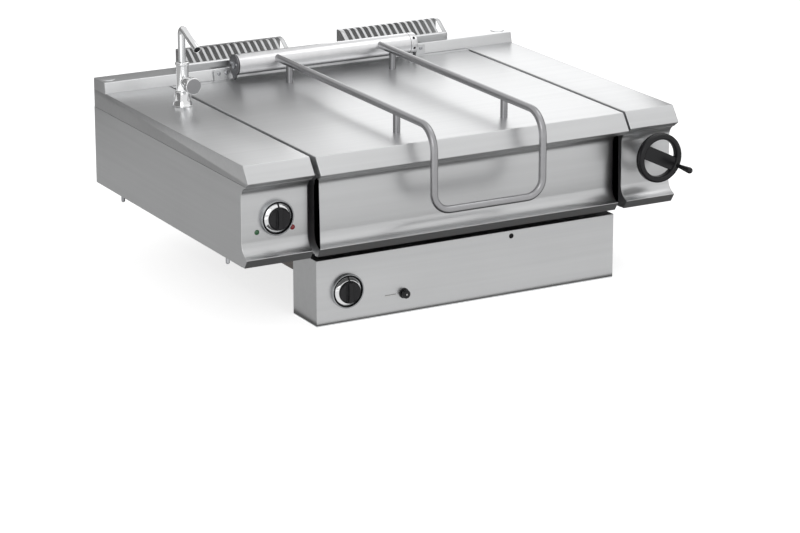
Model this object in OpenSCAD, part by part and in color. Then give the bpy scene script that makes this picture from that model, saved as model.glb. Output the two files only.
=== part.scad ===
// Tilting bratt pan, top module for bridging between two stands.
// Two side columns carry a rectangular pan on trunnions near its front edge. A handwheel on the right
// column raises the rear of the pan through a worm and wheel. The lid is hinged on a tube at the rear
// edge of the pan. Gas controls sit in a box that hangs under the front.
// X runs to the right, Y to the rear, Z up. The origin is the centre of the four support studs, at the
// underside of the columns. Distances named with a d are measured back from the front of the nose.

/* [Overall size] */
// Width over both columns
body_w = 1200; // [1100:10:1400]
// Depth from the worktop nose to the back panel
body_d = 890; // [860:5:960]
// Height from the underside of a column to the worktop
body_h = 250; // [225:1:280]
// Width of the left column, which holds the thermostat and the tap
left_w = 176; // [160:1:220]
// Width of the right column, which holds the tilt drive
right_w = 143; // [136:1:180]
// Thickness of the casing sheet
sheet = 1.5; // [1:0.1:2]
// Thickness of the inner cheeks that carry the trunnions
cheek_t = 3; // [2:0.5:5]
// Height of the seam between worktop skirt and side panel, below the worktop
skirt_h = 48.4; // [44:0.1:52]
// Open joint between worktop skirt and side panel
seam_gap = 0.8; // [0.4:0.1:1.2]

/* [Front profile] */
// Setback of the worktop edge from the nose
nose_back = 29; // [20:1:36]
// Drop of the nose below the worktop
nose_drop = 39; // [34:1:42]
// Setback of the fascia's top edge
cove_back = 18.8; // [14:0.2:24]
// Drop of the fascia's top edge below the worktop
cove_drop = 52.7; // [50:0.1:58]
// Setback of the flat of the fascia
flat_back = 40.8; // [36:0.2:48]
// Drop of the top of the flat below the worktop
flat_drop = 82; // [74:1:90]
// Height of the bottom of the flat
flat_bottom = 59; // [50:1:66]
// Setback of the lower nose
toe_back = 11; // [6:0.5:16]
// Height of the lower nose
toe_h = 22.5; // [18:0.5:28]
// Setback of the bottom edge
foot_back = 26; // [22:1:32]

/* [Upstand and flue] */
// Depth of the upstand at its foot
upstand_d = 75; // [70:1:90]
// Height of the upstand above the worktop
upstand_h = 27; // [20:1:30]
// Backward lean of the upstand's front face
upstand_lean = 7; // [4:0.5:9]
// Width of one flue grille
grille_w = 302; // [260:2:330]
// Clear distance between the two grilles
grille_gap = 168; // [120:2:200]
// Height of a grille above the upstand
grille_h = 49; // [40:1:60]
// Height of the plain band at the foot of a grille
grille_band = 18; // [12:1:22]
// Slots in one grille
grille_slots = 15; // [10:1:18]
// Width of a slot
slot_w = 12; // [8:0.5:14]
// Radius of the plugs on top of the upstand
cap_r = 19; // [14:1:22]

/* [Pan] */
// Gap between the left column and the pan
pan_gap_left = 17.3; // [14:0.1:22]
// Gap between the right column and the pan
pan_gap_right = 24.6; // [20:0.1:30]
// Drop of the pan rim below the worktop
rim_drop = 51; // [50.5:0.5:56]
// Height of the pan floor above the underside of the columns
floor_h = 22; // [18:1:50]
// Distance from the pan casing to the basin wall
basin_wall_gap = 26; // [22:1:40]
// Distance of the basin's front wall from the nose
basin_front = 95; // [90:1:120]
// Corner radius of the basin
basin_r = 40; // [25:1:60]
// Wall of the basin
basin_t = 3; // [2:0.5:4]
// Thickness of the heavy plate under the basin floor
plate_t = 8; // [6:1:8]
// Width of the pouring chute in the front rim
lip_w = 160; // [100:5:240]
// Depth of the pouring chute at the basin wall
lip_h = 14; // [8:1:20]
// Distance of the tilting axis from the nose
axis_d = 84; // [80:0.5:86]
// Drop of the tilting axis below the worktop
axis_drop = 65; // [62:0.5:67]
// Length of a trunnion bearing
bearing_l = 19; // [14:1:24]
// Wall of a trunnion bearing
bearing_t = 11; // [8:0.5:13]
// Radius of a trunnion
trunnion_r = 12; // [10:0.5:12]
// Length of the bars that join the trunnions to the basin
bar_l = 100; // [70:1:120]

/* [Tilt drive] */
// Module of the worm gear
gear_module = 2; // [2:0.1:2]
// Teeth on the worm wheel
wheel_teeth = 40; // [38:1:40]
// Pitch radius of the worm
worm_r = 10; // [9.5:0.5:11]
// Face width of the worm wheel
wheel_w = 16; // [12:1:20]
// Length of the thread on the worm
worm_l = 40; // [34:1:44]
// Play between the flanks of worm and wheel, on each side
backlash = 0.35; // [0.3:0.05:0.45]
// Distance of the handwheel axis from the right side of the body
wheel_side = 75; // [72:1:80]
// Radius of the handwheel
handwheel_r = 63; // [55:1:65]
// Radial width of the handwheel rim
handwheel_rim = 16; // [12:1:20]
// Thickness of the handwheel rim
handwheel_t = 18; // [14:1:22]
// Width of the handwheel's spoke
spoke_w = 36; // [28:1:44]
// Distance of the handwheel's middle plane in front of the nose
handwheel_out = 26; // [22:1:40]
// Length of the crank grip
grip_l = 62; // [50:1:75]
// Largest radius of the crank grip
grip_r = 8; // [6:0.5:10]

/* [Lid] */
// Gap between a column and the lid
lid_gap = 10.5; // [8:0.5:14]
// How far the lid's nose stands in front of the columns
lid_out = 10; // [6:1:12]
// Gap between the lid's rear edge and the upstand
lid_rear_gap = 27; // [25:1:32]
// Play between the lid's inner skin and the pan rim
lid_rest = 0.4; // [0.3:0.1:1]

/* [Hinge and handle] */
// Radius of the hinge tube
tube_r = 31.5; // [26:0.5:32]
// Wall of the hinge tube
tube_t = 3; // [2:0.5:4]
// Length over the hinge tube and its spring collar
tube_l = 524; // [460:2:560]
// Length of the spring collar at the right end
collar_l = 20; // [14:1:28]
// Distance of the hinge axis in front of the upstand
hinge_fwd = 26; // [26:0.5:30]
// Height of the hinge axis above the worktop
hinge_up = 40.4; // [39:0.1:44]
// Radius of the hinge shaft
shaft_r = 9; // [7:0.5:10]
// Thickness of a hinge bracket
bracket_t = 4; // [3:0.5:5]
// Thickness of the flange on the hinge shaft
shaft_flange = 3; // [2:0.5:4]
// Width of a bracket flange
flange_w = 47; // [38:1:60]
// Radius of the handle tube and of its posts
handle_r = 9.5; // [8:0.5:11]
// Distance between the handle's arms
handle_w = 302; // [240:2:360]
// Height of the arms above the lid
handle_up = 50; // [46:1:60]
// Distance of the handle's legs in front of the nose
handle_out = 55; // [40:1:65]
// Drop of the handle's bottom bar below the worktop
handle_drop = 155; // [140:1:170]
// Radius of the upper bends, on the centre line
bend_top = 60; // [36:1:80]
// Radius of the lower bends, on the centre line
bend_low = 44; // [30:1:60]
// Distance of the front posts from the nose
post_front = 130; // [100:1:200]
// Distance of the rear posts in front of the upstand
post_rear = 113; // [80:1:160]
// Wire radius of the lid spring
spring_wire = 2.5; // [2:0.25:3]
// Turns of the lid spring
spring_turns = 15; // [8:1:18]

/* [Control box and burners] */
// Distance of the control box from the nose
box_back = 32.6; // [30:0.5:36]
// Depth of the control box
box_d = 122.4; // [110:1:130]
// Gap between the columns' underside and the control box
box_gap = 12.5; // [12:0.5:20]
// Height of the control box
box_h = 166.5; // [140:1:200]
// Depth of the combustion tray below the columns
tray_h = 66; // [62:1:80]
// Width of the front beam under the pan
beam_w = 30; // [20:1:34]
// Height of the rear beam behind the pan
rear_beam_h = 60; // [40:1:80]
// How far the front beam laps under the columns
beam_lap = 40; // [30:1:60]
// Wall of the beams
beam_t = 3; // [2:0.5:4]
// Distance of the outer burners from the middle one
burner_pitch = 220; // [180:1:250]
// Distance of the burners' closed ends in front of the duct
burner_end = 60; // [40:1:100]
// Radius of a burner tube
burner_r = 17; // [12:1:19]
// Radius of the gas manifold
manifold_r = 7; // [5:0.5:8]

/* [Controls] */
// Thermostat knob: distance from the left side
thermo_x = 92; // [80:1:110]
// Thermostat knob: height above the middle of the flat
thermo_up = -3.5; // [-8:0.5:8]
// Gas knob: distance from the left end of the control box
gas_x = 81; // [60:1:120]
// Gas knob: distance below the top of the control box
gas_drop = 84.5; // [70:0.5:100]
// Igniter: distance from the left end of the control box
igniter_x = 238.7; // [180:1:300]
// Igniter: distance below the top of the control box
igniter_drop = 115.5; // [100:1:130]
// Sight hole for the flame: distance from the left end of the control box
sight_x = 540.7; // [500:0.1:580]
// Sight hole: distance below the top of the control box
sight_drop = 14.5; // [12:0.5:30]
// Radius of the sight hole
sight_r = 6.6; // [4:0.1:8]
// Radius of a knob's cap
knob_r = 28; // [22:0.5:29]
// Radius of a knob's stem
stem_r = 3; // [2.5:0.5:4]
// Outer radius of a knob's bezel
bezel_r = 42; // [39:0.5:43]
// How far a knob stands out of its panel
knob_out = 26; // [22:1:30]
// Half the distance between the lamps
lamp_dx = 47; // [46:0.5:50]
// Distance of the lamps below the knob axis
lamp_drop = 30.5; // [26:0.5:36]
// Radius of a lamp
lamp_r = 6.5; // [5:0.5:8]
// Travel of the igniter button
button_travel = 3.8; // [2:0.2:5]

/* [Tap] */
// Distance of the tap from the left side
tap_x = 123; // [100:1:130]
// Distance of the tap from the nose
tap_d = 617; // [500:1:660]
// Height of the tap's fixed body
tap_body_h = 111; // [90:1:130]
// Radius of the tap's foot
tap_foot_r = 22; // [19:0.5:25]
// Height of the tap's conical foot
tap_foot_h = 38; // [30:1:44]
// Length of the tap's shank below the worktop
shank_l = 24; // [18:1:40]
// Depth of the spout's socket
socket_l = 26; // [20:1:34]
// Radius of the tap's body
tap_r = 14.4; // [12:0.2:17]
// Radius of the spout tube
spout_r = 8; // [6:0.5:9]
// Height of the spout's bend above the worktop
spout_h = 197; // [170:1:260]
// Reach of the spout
spout_reach = 103; // [80:1:130]
// Slope of the spout below the horizontal
spout_slope = 20; // [10:1:35]
// Height of the tap knob above the worktop
tap_knob_h = 62; // [58:1:75]
// Radius of the tap knob
tap_knob_r = 21; // [16:0.5:23]

/* [Supports] */
// Distance of a stud from the side of the body
stud_in = 20; // [14:1:40]
// Distance between the front and rear studs
stud_dy = 610; // [500:10:640]
// Distance of the front studs from the nose
stud_front = 158; // [120:1:200]
// Radius of a stud
stud_r = 5; // [4:0.5:8]
// How far a stud stands out below the underside
stud_l = 27; // [15:1:30]
// Radius over the thread of the gas and water inlets
inlet_r = 10.5; // [10.5:2.7:13.2]

/* [Clearances] */
// Radial play of a shaft that turns in its bearing
run_play = 0.05; // [0.02:0.01:0.09]
// Play between parts that are fixed side by side
set_play = 0.3; // [0.2:0.05:0.5]

/* [Hidden] */
$fn = 64;

// Places along X
x_left = -body_w / 2;
x_right = body_w / 2;
x_lc = x_left + left_w;
x_rc = x_right - right_w;
x_pan0 = x_lc + pan_gap_left;
x_pan1 = x_rc - pan_gap_right;
x_lid0 = x_lc + lid_gap;
x_lid1 = x_rc - lid_gap;
x_mid = (x_lid0 + x_lid1) / 2;
x_arm = [x_mid - handle_w / 2, x_mid + handle_w / 2];
x_tube0 = x_mid - tube_l / 2;
x_tube1 = x_mid + tube_l / 2;
x_collar = x_tube1 - collar_l;
x_drive = x_right - wheel_side;
x_grille = [x_mid - grille_gap / 2 - grille_w, x_mid + grille_gap / 2];

// Places along Y, measured from the nose, and the nose itself
y_nose = -(stud_front + stud_dy / 2);
d_up = body_d - upstand_d;
d_lid = d_up - lid_rear_gap;
d_rail = d_lid + 3;
d_flange = d_up - 4;
d_hinge = d_up - hinge_fwd;
d_pan_rear = d_up - 60;
d_basin_rear = d_pan_rear - 8;
d_box_rear = box_back + box_d;
d_duct = d_up + 2;
d_beam = d_up - 20;

// Heights
h_skirt = body_h - skirt_h;
h_panel = h_skirt - seam_gap;
h_nose = body_h - nose_drop;
h_cove = body_h - cove_drop;
h_rim = body_h - rim_drop;
h_floor = floor_h;
h_hinge = body_h + hinge_up;
h_arm = body_h + handle_up;
h_up = body_h + upstand_h;
h_flat = body_h - flat_drop;
axis_h = body_h - axis_drop;
thermo_h = (h_flat + flat_bottom) / 2 + thermo_up;
h_bar = body_h - handle_drop;
h_box = -box_gap;

// Directions and offsets of a sheet that is bent along a path
function unit(v) = v / norm(v);
function left_of(v) = [-v.y, v.x];
function mitre(p, q, r, t) =
  let (a = left_of(unit(q - p)), b = left_of(unit(r - q))) q + t * (a + b) / (1 + a * b);
function inset(path, t) = let (n = len(path) - 1) [for (i = [0:n])
  i == 0 ? path[0] + t * left_of(unit(path[1] - path[0])) :
  i == n ? path[n] + t * left_of(unit(path[n] - path[n - 1])) :
  mitre(path[i - 1], path[i], path[i + 1], t)];
function reversed(list) = [for (i = [len(list) - 1:-1:0]) list[i]];
function band(path, t) = concat(path, reversed(inset(path, t)));
function arc(c, r, a0, a1, n) = [for (i = [0:n]) let (a = a0 + (a1 - a0) * i / n) c + r * [cos(a), sin(a)]];

// The cove above the flat and the sweep below it, both tangent to the flat
cove_r = (pow(flat_back - cove_back, 2) + pow(h_cove - h_flat, 2)) / (2 * (flat_back - cove_back));
cove_a = atan2(h_cove - h_flat, cove_back - flat_back + cove_r);
toe_r = (pow(flat_back - toe_back, 2) + pow(flat_bottom - toe_h, 2)) / (2 * (flat_back - toe_back));
toe_a = atan2(toe_h - flat_bottom, toe_back - flat_back + toe_r);
front_line = concat(arc([flat_back - cove_r, h_flat], cove_r, cove_a, 0, 8),
  arc([flat_back - toe_r, flat_bottom], toe_r, 0, toe_a, 8), [[foot_back, 0]]);
foot_flange = foot_back + 15;

// Height of the nose's underside at a distance from the nose
nose_fall = (h_nose - h_cove) / cove_back;
nose_end = cove_back - set_play;

// Solids placed by distance from the nose
module along_x(x0, x1) {
  translate([x0, y_nose, 0]) rotate([90, 0, 90]) linear_extrude(x1 - x0) children();
}
module block(x0, x1, d0, d1, z0, z1) {
  translate([x0, y_nose + d0, z0]) cube([x1 - x0, d1 - d0, z1 - z0]);
}
module rod_x(x0, x1, d, z, r) {
  translate([x0, y_nose + d, z]) rotate([0, 90, 0]) cylinder(h = x1 - x0, r = r);
}
module rod_y(x, z, d0, d1, r) {
  translate([x, y_nose + d0, z]) rotate([-90, 0, 0]) cylinder(h = d1 - d0, r = r);
}
module rod_z(x, d, z0, z1, r) {
  translate([x, y_nose + d, z0]) cylinder(h = z1 - z0, r = r);
}
module open_box(x0, x1, d0, d1, z0, z1, t) {
  difference() {
    block(x0, x1, d0, d1, z0, z1);
    block(x0 + t, x1 - t, d0 + t, d1 - t, z0 + t, z1 + 1);
  }
}
module round_rect(x0, x1, d0, d1, r) {
  translate([x0 + r, d0]) square([x1 - x0 - 2 * r, d1 - d0]);
  translate([x0, d0 + r]) square([x1 - x0, d1 - d0 - 2 * r]);
  for (x = [x0 + r, x1 - r]) for (d = [d0 + r, d1 - r]) translate([x, d]) circle(r);
}
module prism(z0, z1) {
  translate([0, y_nose, z0]) linear_extrude(z1 - z0) children();
}

// A body swept through a list of rings, each ring a list of points
module sweep(rings) {
  m = len(rings[0]);
  n = len(rings);
  sides = [for (i = [0:n - 2]) for (j = [0:m - 1]) let (k = (j + 1) % m)
    [i * m + j, (i + 1) * m + j, (i + 1) * m + k, i * m + k]];
  polyhedron(points = [for (ring = rings) for (p = ring) p],
    faces = concat([[for (j = [0:m - 1]) j]], sides, [[for (j = [m - 1:-1:0]) (n - 1) * m + j]]));
}

// Worktop of a column: bent sheet with a slanted nose, side skirts and a rear skirt
module worktop(x0, x1) {
  path = [[body_d, body_h], [nose_back, body_h], [0, h_nose], [nose_end, h_nose - nose_fall * nose_end]];
  skirt = concat(path, [[nose_end, h_skirt], [body_d, h_skirt]]);
  along_x(x0, x1) polygon(band(path, sheet));
  along_x(x0, x0 + sheet) polygon(skirt);
  along_x(x1 - sheet, x1) polygon(skirt);
  block(x0, x1, body_d - sheet, body_d, h_skirt, body_h);
}
module left_worktop() color("gainsboro") difference() {
  worktop(x_left, x_lc);
  rod_z(x_left + tap_x, tap_d, body_h - 2 * sheet, body_h + 1, tap_r - 3);
}
module right_worktop() color("gainsboro") worktop(x_rc, x_right);

// Upright side of a column, cut to the front profile
module column_side(x0, x1) {
  along_x(x0, x1) polygon(concat([[cove_back, h_panel]], front_line, [[body_d, 0], [body_d, h_panel]]));
}
module left_side_panel() color("silver") column_side(x_left, x_left + sheet);
module right_side_panel() color("silver") column_side(x_right - sheet, x_right);

// Inner cheek with a hole that clears the trunnion
module inner_cheek(x0) {
  difference() {
    column_side(x0, x0 + cheek_t);
    rod_x(x0 - 1, x0 + cheek_t + 1, axis_d, axis_h, trunnion_r + 5);
  }
}
module left_inner_cheek() color("darkgray") inner_cheek(x_lc - cheek_t);
module right_inner_cheek() color("darkgray") inner_cheek(x_rc);

// Fascia sheet bent to the front profile
module fascia(x0, x1) {
  along_x(x0, x1) polygon(band(concat(front_line, [[foot_flange, 0]]), sheet));
}
x_thermo = x_left + thermo_x;
lamp_x = [x_thermo - lamp_dx - 4, x_thermo + lamp_dx - 4];
lamp_z = thermo_h - lamp_drop;
module left_fascia() color("lightgray") difference() {
  fascia(x_left + sheet, x_lc - cheek_t);
  rod_y(x_thermo, thermo_h, flat_back - 2, flat_back + 4, 8 + run_play);
  for (x = lamp_x) rod_y(x, lamp_z, flat_back - 2, flat_back + 4, lamp_r - 1.5 + run_play);
}
module right_fascia() color("lightgray") difference() {
  fascia(x_rc + cheek_t, x_right - sheet);
  rod_y(x_drive, worm_h, flat_back - 2, flat_back + 4, 10);
}

// Floors of the columns, drilled for the studs
stud_x = [x_left + stud_in, x_right - stud_in];
stud_d = [stud_front, stud_front + stud_dy];
inlet_d = body_d - 50;
inlet_x = [x_left + 60, x_left + 110];
gland_x = x_left + 146;
module column_floors() color("darkgray") difference() {
  for (x = [[x_left + sheet, x_lc - cheek_t], [x_rc + cheek_t, x_right - sheet]])
    block(x[0], x[1], foot_flange, body_d - sheet, 0, 2);
  for (x = stud_x) for (d = stud_d) rod_z(x, d, -1, 3, stud_r + run_play);
  for (x = inlet_x) rod_z(x, inlet_d, -1, 3, inlet_r - 1 + run_play);
  rod_z(gland_x, inlet_d, -1, 3, 8 + run_play);
}

// Locating studs with domed tips, held by a nut above the floor
module support_studs() color("whitesmoke") for (x = stud_x) for (d = stud_d) {
  rod_z(x, d, stud_r - stud_l, 10, stud_r);
  translate([x, y_nose + d, stud_r - stud_l]) sphere(stud_r);
  translate([x, y_nose + d, 2]) cylinder(h = 5, r = stud_r * 1.8, $fn = 6);
}

// Upstand: a hollow box along the rear, with an apron behind the pan
module rear_upstand() color("gainsboro") difference() {
  union() {
    hood = [[body_d, body_h], [body_d, h_up], [d_up + upstand_lean, h_up], [d_up + 0.02 * upstand_lean,
      body_h + 0.02 * upstand_h]];
    along_x(x_left, x_right) polygon(band(hood, sheet));
    along_x(x_left, x_left + sheet) polygon(hood);
    along_x(x_right - sheet, x_right) polygon(hood);
    block(x_lc, x_rc, d_up, d_up + sheet, h_rim, body_h);
  }
  for (x = x_grille)
    block(x + 12, x + grille_w - 12, d_up + upstand_lean + 10, body_d - 10, h_up - 3, h_up + 1);
  for (x = cap_x) rod_z(x, cap_d, h_up - 3, h_up + 1, cap_r - 4);
}
cap_x = [x_left + cap_r + 5, x_right - cap_r - 5];
cap_d = body_d - (upstand_d - upstand_lean) / 2;
module upstand_caps() color("lightgray") for (x = cap_x) {
  rod_z(x, cap_d, h_up, h_up + 2, cap_r);
  rod_z(x, cap_d, h_up - 5, h_up, cap_r - 4 - set_play);
}

// Back panel, full height between the columns
module rear_panel() color("darkgray") {
  block(x_left + sheet, x_lc - cheek_t, body_d - sheet, body_d, 2, h_panel);
  block(x_rc + cheek_t, x_right - sheet, body_d - sheet, body_d, 2, h_panel);
  block(x_lc, x_rc, body_d - sheet, body_d, 2, body_h);
  for (x = [x_lc - cheek_t, x_rc]) block(x, x + cheek_t, body_d, body_d + set_play, 20, h_panel - 20);
}

// Beams that join the columns: one under the front, one behind the pan
module lower_crossmember() color("dimgray") difference() {
  block(x_lc - beam_lap, x_rc + beam_lap, d_box_rear, d_box_rear + beam_w, -beam_w, 0);
  block(x_lc - beam_lap - 1, x_rc + beam_lap + 1, d_box_rear + beam_t, d_box_rear + beam_w + 1,
    beam_t - beam_w, -beam_t);
}
module rear_crossmember() color("dimgray") difference() {
  h = h_rim - 19;
  block(x_lc, x_rc, d_beam, d_duct, h - rear_beam_h, h);
  block(x_lc + beam_t, x_rc - beam_t, d_beam + 2, d_duct + 1, h - rear_beam_h + 2, h - 2);
}

// Duct from the combustion tray up into the upstand
x_duct = [x_grille[0] + 4, x_grille[1] + grille_w - 4];
module flue_duct() color("gray") difference() {
  block(x_duct[0], x_duct[1], d_duct, body_d - sheet - 4, -tray_h, body_h - sheet);
  block(x_duct[0] + 2, x_duct[1] - 2, d_duct + 2, body_d - sheet - 6, 2 - tray_h, body_h);
  block(x_duct[0] + 20, x_duct[1] - 20, d_duct - 1, d_duct + 3, 4 - tray_h, -6);
}

// Flue grille: a hood with a plain band, a slotted slope that rounds over the top, and open ends
g_front = d_up + upstand_lean + 2;
g_top = h_up + grille_h;
g_r = 25;
g_slope = 36;
g_tangent = g_front + (g_top - g_r + g_r * cos(g_slope) - h_up - grille_band) / tan(g_slope);
g_round = g_tangent + g_r * sin(g_slope);
module flue_grille(x0) {
  hood = concat([[body_d - 2, h_up], [body_d - 2, g_top]],
    arc([g_round, g_top - g_r], g_r, 90, 90 + g_slope, 6),
    [[g_front, h_up + grille_band], [g_front, h_up]]);
  pitch = grille_w / grille_slots;
  difference() {
    along_x(x0, x0 + grille_w) polygon(band(hood, sheet));
    for (i = [0:grille_slots - 1]) let (x = x0 + pitch * (i + 0.5) - slot_w / 2)
      block(x, x + slot_w, g_front - 1, g_round + 5, h_up + grille_band + 4, g_top + 1);
  }
}
module left_flue_grille() color("lightgray") flue_grille(x_grille[0]);
module right_flue_grille() color("lightgray") flue_grille(x_grille[1]);

// Control box: four walls and a front, closed by a separate back
x_gas = x_pan0 + gas_x;
z_gas = h_box - gas_drop;
x_igniter = x_pan0 + igniter_x;
z_igniter = h_box - igniter_drop;
module control_box() color("silver") difference() {
  block(x_pan0, x_pan1, box_back, d_box_rear, h_box - box_h, h_box);
  block(x_pan0 + sheet, x_pan1 - sheet, box_back + sheet, d_box_rear + 1,
    h_box - box_h + sheet, h_box - sheet);
  rod_y(x_gas, z_gas, box_back - 1, box_back + 3, 8 + run_play);
  rod_y(x_igniter, z_igniter, box_back - 1, box_back + 3, 10);
  rod_y(x_pan0 + sight_x, h_box - sight_drop, box_back - 1, box_back + 3, sight_r);
}
module control_box_back() color("darkgray") difference() {
  block(x_pan0 + sheet, x_pan1 - sheet, d_box_rear - sheet, d_box_rear,
    h_box - box_h + sheet, h_box - sheet);
  rod_y(x_gas, z_gas, d_box_rear - 3, d_box_rear + 1, manifold_r + 2);
}

// Combustion tray, open to the pan above and to the duct behind, with ears under the front beam
x_burner = [x_mid - burner_pitch, x_mid, x_mid + burner_pitch];
z_burner = -tray_h + burner_r + 6;
d_burner = d_duct - burner_end;
d_tray = d_box_rear + beam_w + 3;
module combustion_tray() color("dimgray") difference() {
  union() {
    block(x_pan0, x_pan1, d_tray, d_duct, -tray_h, -4);
    for (x = [x_pan0, x_pan1 - 2]) block(x, x + 2, d_box_rear, d_tray, -tray_h, -beam_w);
  }
  block(x_pan0 + 2, x_pan1 - 2, d_tray + 2, d_duct - 2, 2 - tray_h, 0);
  block(x_duct[0] + 20, x_duct[1] - 20, d_duct - 3, d_duct + 1, 4 - tray_h, -6);
  for (x = x_burner) rod_y(x, z_burner, d_tray - 1, d_tray + 3, burner_r + set_play);
}

// Tube burners with flame ports across the top, standing on saddles
module burners() color("slategray") for (x = x_burner) difference() {
  union() {
    rod_y(x, z_burner, d_tray, d_burner, burner_r);
    for (d = [d_tray + burner_end, d_burner - burner_end])
      block(x - 12, x + 12, d, d + 10, 2 - tray_h, z_burner);
  }
  rod_y(x, z_burner, d_tray - 1, d_burner - 2, burner_r - 2);
  for (i = [0:11]) let (d = d_tray + 1.5 * burner_end + i * (d_burner - d_tray - 2.5 * burner_end) / 11)
    block(x - 10, x + 10, d, d + 3, z_burner + burner_r - 6, z_burner + burner_r + 1);
}

// Manifold under the front beam, with an injector for each burner and a feed from the valve
d_manifold = d_box_rear + beam_w / 2;
module gas_manifold() color("goldenrod") {
  rod_x(x_gas, x_burner[2] + 10, d_manifold, z_burner, manifold_r);
  rod_y(x_gas, z_gas, valve_d[1], d_manifold, manifold_r);
  rod_z(x_gas, d_manifold, z_gas, z_burner, manifold_r);
  for (z = [z_gas, z_burner]) translate([x_gas, y_nose + d_manifold, z]) sphere(manifold_r);
  for (x = x_burner) rod_y(x, z_burner, d_manifold, d_tray + 8, 4);
}

// Gas valve behind the control box front
valve_d = [box_back + 26, box_back + 86];
module gas_valve() color("peru") difference() {
  union() {
    block(x_gas - 22, x_gas + 22, valve_d[0], valve_d[1], z_gas - 20, z_gas + 20);
    rod_y(x_gas, z_gas, box_back + sheet, valve_d[0], 14);
    rod_y(x_gas, z_gas, box_back, box_back + sheet, 8);
    rod_z(x_gas, valve_d[0] + 30, z_gas + 20, z_gas + 34, 9);
  }
  rod_y(x_gas, z_gas, box_back - 1, valve_d[0] + 12, stem_r + run_play);
}

// Igniter body, clamped through the control box front
module igniter_body() color("dimgray") difference() {
  union() {
    rod_y(x_igniter, z_igniter, box_back - 3, box_back, 13);
    rod_y(x_igniter, z_igniter, box_back, box_back + 46, 10 - run_play);
    rod_y(x_igniter, z_igniter, box_back + sheet, box_back + sheet + 5, 15);
  }
  rod_y(x_igniter, z_igniter, box_back - 4, box_back + 30, 5 + run_play);
}

// Thermostat behind the left fascia
module thermostat_body() color("gray") difference() {
  union() {
    block(x_thermo - 24, x_thermo + 24, flat_back + 8, flat_back + 52, thermo_h - 24, thermo_h + 24);
    rod_y(x_thermo, thermo_h, flat_back + sheet, flat_back + 8, 14);
    rod_y(x_thermo, thermo_h, flat_back, flat_back + sheet, 8);
  }
  rod_y(x_thermo, thermo_h, flat_back - 1, flat_back + 24, stem_r + run_play);
}

// Pilot lamp: domed lens in front, body behind
module pilot_lamp(x) {
  translate([x, y_nose + flat_back, lamp_z]) rotate([90, 0, 0]) rotate_extrude() intersection() {
    translate([0, 3 - lamp_r]) circle(lamp_r * 1.15);
    square([lamp_r, lamp_r]);
  }
  rod_y(x, lamp_z, flat_back, flat_back + 24, lamp_r - 1.5);
}
module green_lamp() color("seagreen") pilot_lamp(lamp_x[0]);
module red_lamp() color("crimson") pilot_lamp(lamp_x[1]);

// Chrome bezels round the two knobs
module bezel(x, z, d) {
  translate([x, y_nose + d, z]) rotate([90, 0, 0]) rotate_extrude()
    polygon([[bezel_r - 8, 0], [bezel_r, 0], [bezel_r, 3], [bezel_r - 1.5, 8], [bezel_r - 3.5, 10],
      [bezel_r - 6, 10], [bezel_r - 8, 8]]);
}
module knob_bezels() color("whitesmoke") {
  bezel(x_thermo, thermo_h, flat_back);
  bezel(x_gas, z_gas, box_back);
}

// Flanged bearings of the trunnions, bolted inside the columns
module bearing(x0, x1, xf) {
  difference() {
    union() {
      rod_x(x0, x1, axis_d, axis_h, trunnion_r + bearing_t);
      rod_x(xf, xf + 6, axis_d, axis_h, trunnion_r + bearing_t + 6);
    }
    rod_x(x0 - 1, x1 + 1, axis_d, axis_h, trunnion_r + run_play);
  }
}
module trunnion_bearings() color("darkslategray") {
  bearing(x_lc - cheek_t - bearing_l, x_lc - cheek_t, x_lc - cheek_t - 6);
  bearing(x_rc + cheek_t, x_rc + cheek_t + bearing_l, x_rc + cheek_t);
}

// Worm gear sizes: the worm lies under the wheel, along Y
wheel_r = gear_module * wheel_teeth / 2;
worm_h = axis_h - wheel_r - worm_r;
worm_pitch = PI * gear_module;
worm_root = worm_r - 1.25 * gear_module;
flank = tan(20);
ear_d = [axis_d - worm_l / 2 - 15, axis_d + worm_l / 2 + 7];
ear_t = 8;
module worm_bracket() color("dimgray") difference() {
  union() {
    block(x_rc + cheek_t, x_rc + cheek_t + 4, ear_d[0], ear_d[1] + ear_t, worm_h - 18, worm_h + 13);
    for (d = ear_d) block(x_rc + cheek_t + 4, x_drive + 20, d, d + ear_t, worm_h - 18, worm_h + 13);
  }
  for (d = ear_d) rod_y(x_drive, worm_h, d - 1, d + ear_t + 1, worm_root + 3.5);
}
module worm_bushes() color("darkgoldenrod") for (d = ear_d) difference() {
  rod_y(x_drive, worm_h, d, d + ear_t, worm_root + 3.5 - 0.02);
  rod_y(x_drive, worm_h, d - 1, d + ear_t + 1, worm_root + run_play);
}

// Tap body: conical foot, column with a collar, and a boss for the valve
z_tap = body_h;
d_boss = tap_d - tap_r - 6;
x_tap = x_left + tap_x;
module tap_body() color("whitesmoke") difference() {
  union() {
    translate([x_tap, y_nose + tap_d, z_tap]) rotate_extrude()
      polygon([[0, 0], [tap_foot_r, 0], [tap_foot_r, 2], [tap_r + 2.6, tap_foot_h - 4],
        [tap_r + 0.6, tap_foot_h], [tap_r, tap_foot_h], [tap_r, tap_body_h - 8],
        [tap_r + 2, tap_body_h - 6], [tap_r + 2, tap_body_h - 2], [tap_r, tap_body_h], [0, tap_body_h]]);
    rod_y(x_tap, z_tap + tap_knob_h, d_boss, tap_d, 11);
    rod_z(x_tap, tap_d, z_tap - shank_l, z_tap, tap_r - 3 - run_play);
    rod_z(x_tap, tap_d, z_tap - sheet - 7, z_tap - sheet, 20);
  }
  rod_z(x_tap, tap_d, z_tap + tap_body_h - socket_l, z_tap + tap_body_h + 1, spout_r - 2 + run_play);
  rod_y(x_tap, z_tap + tap_knob_h, d_boss - 1, tap_d - 4, 4 + run_play);
}

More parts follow.
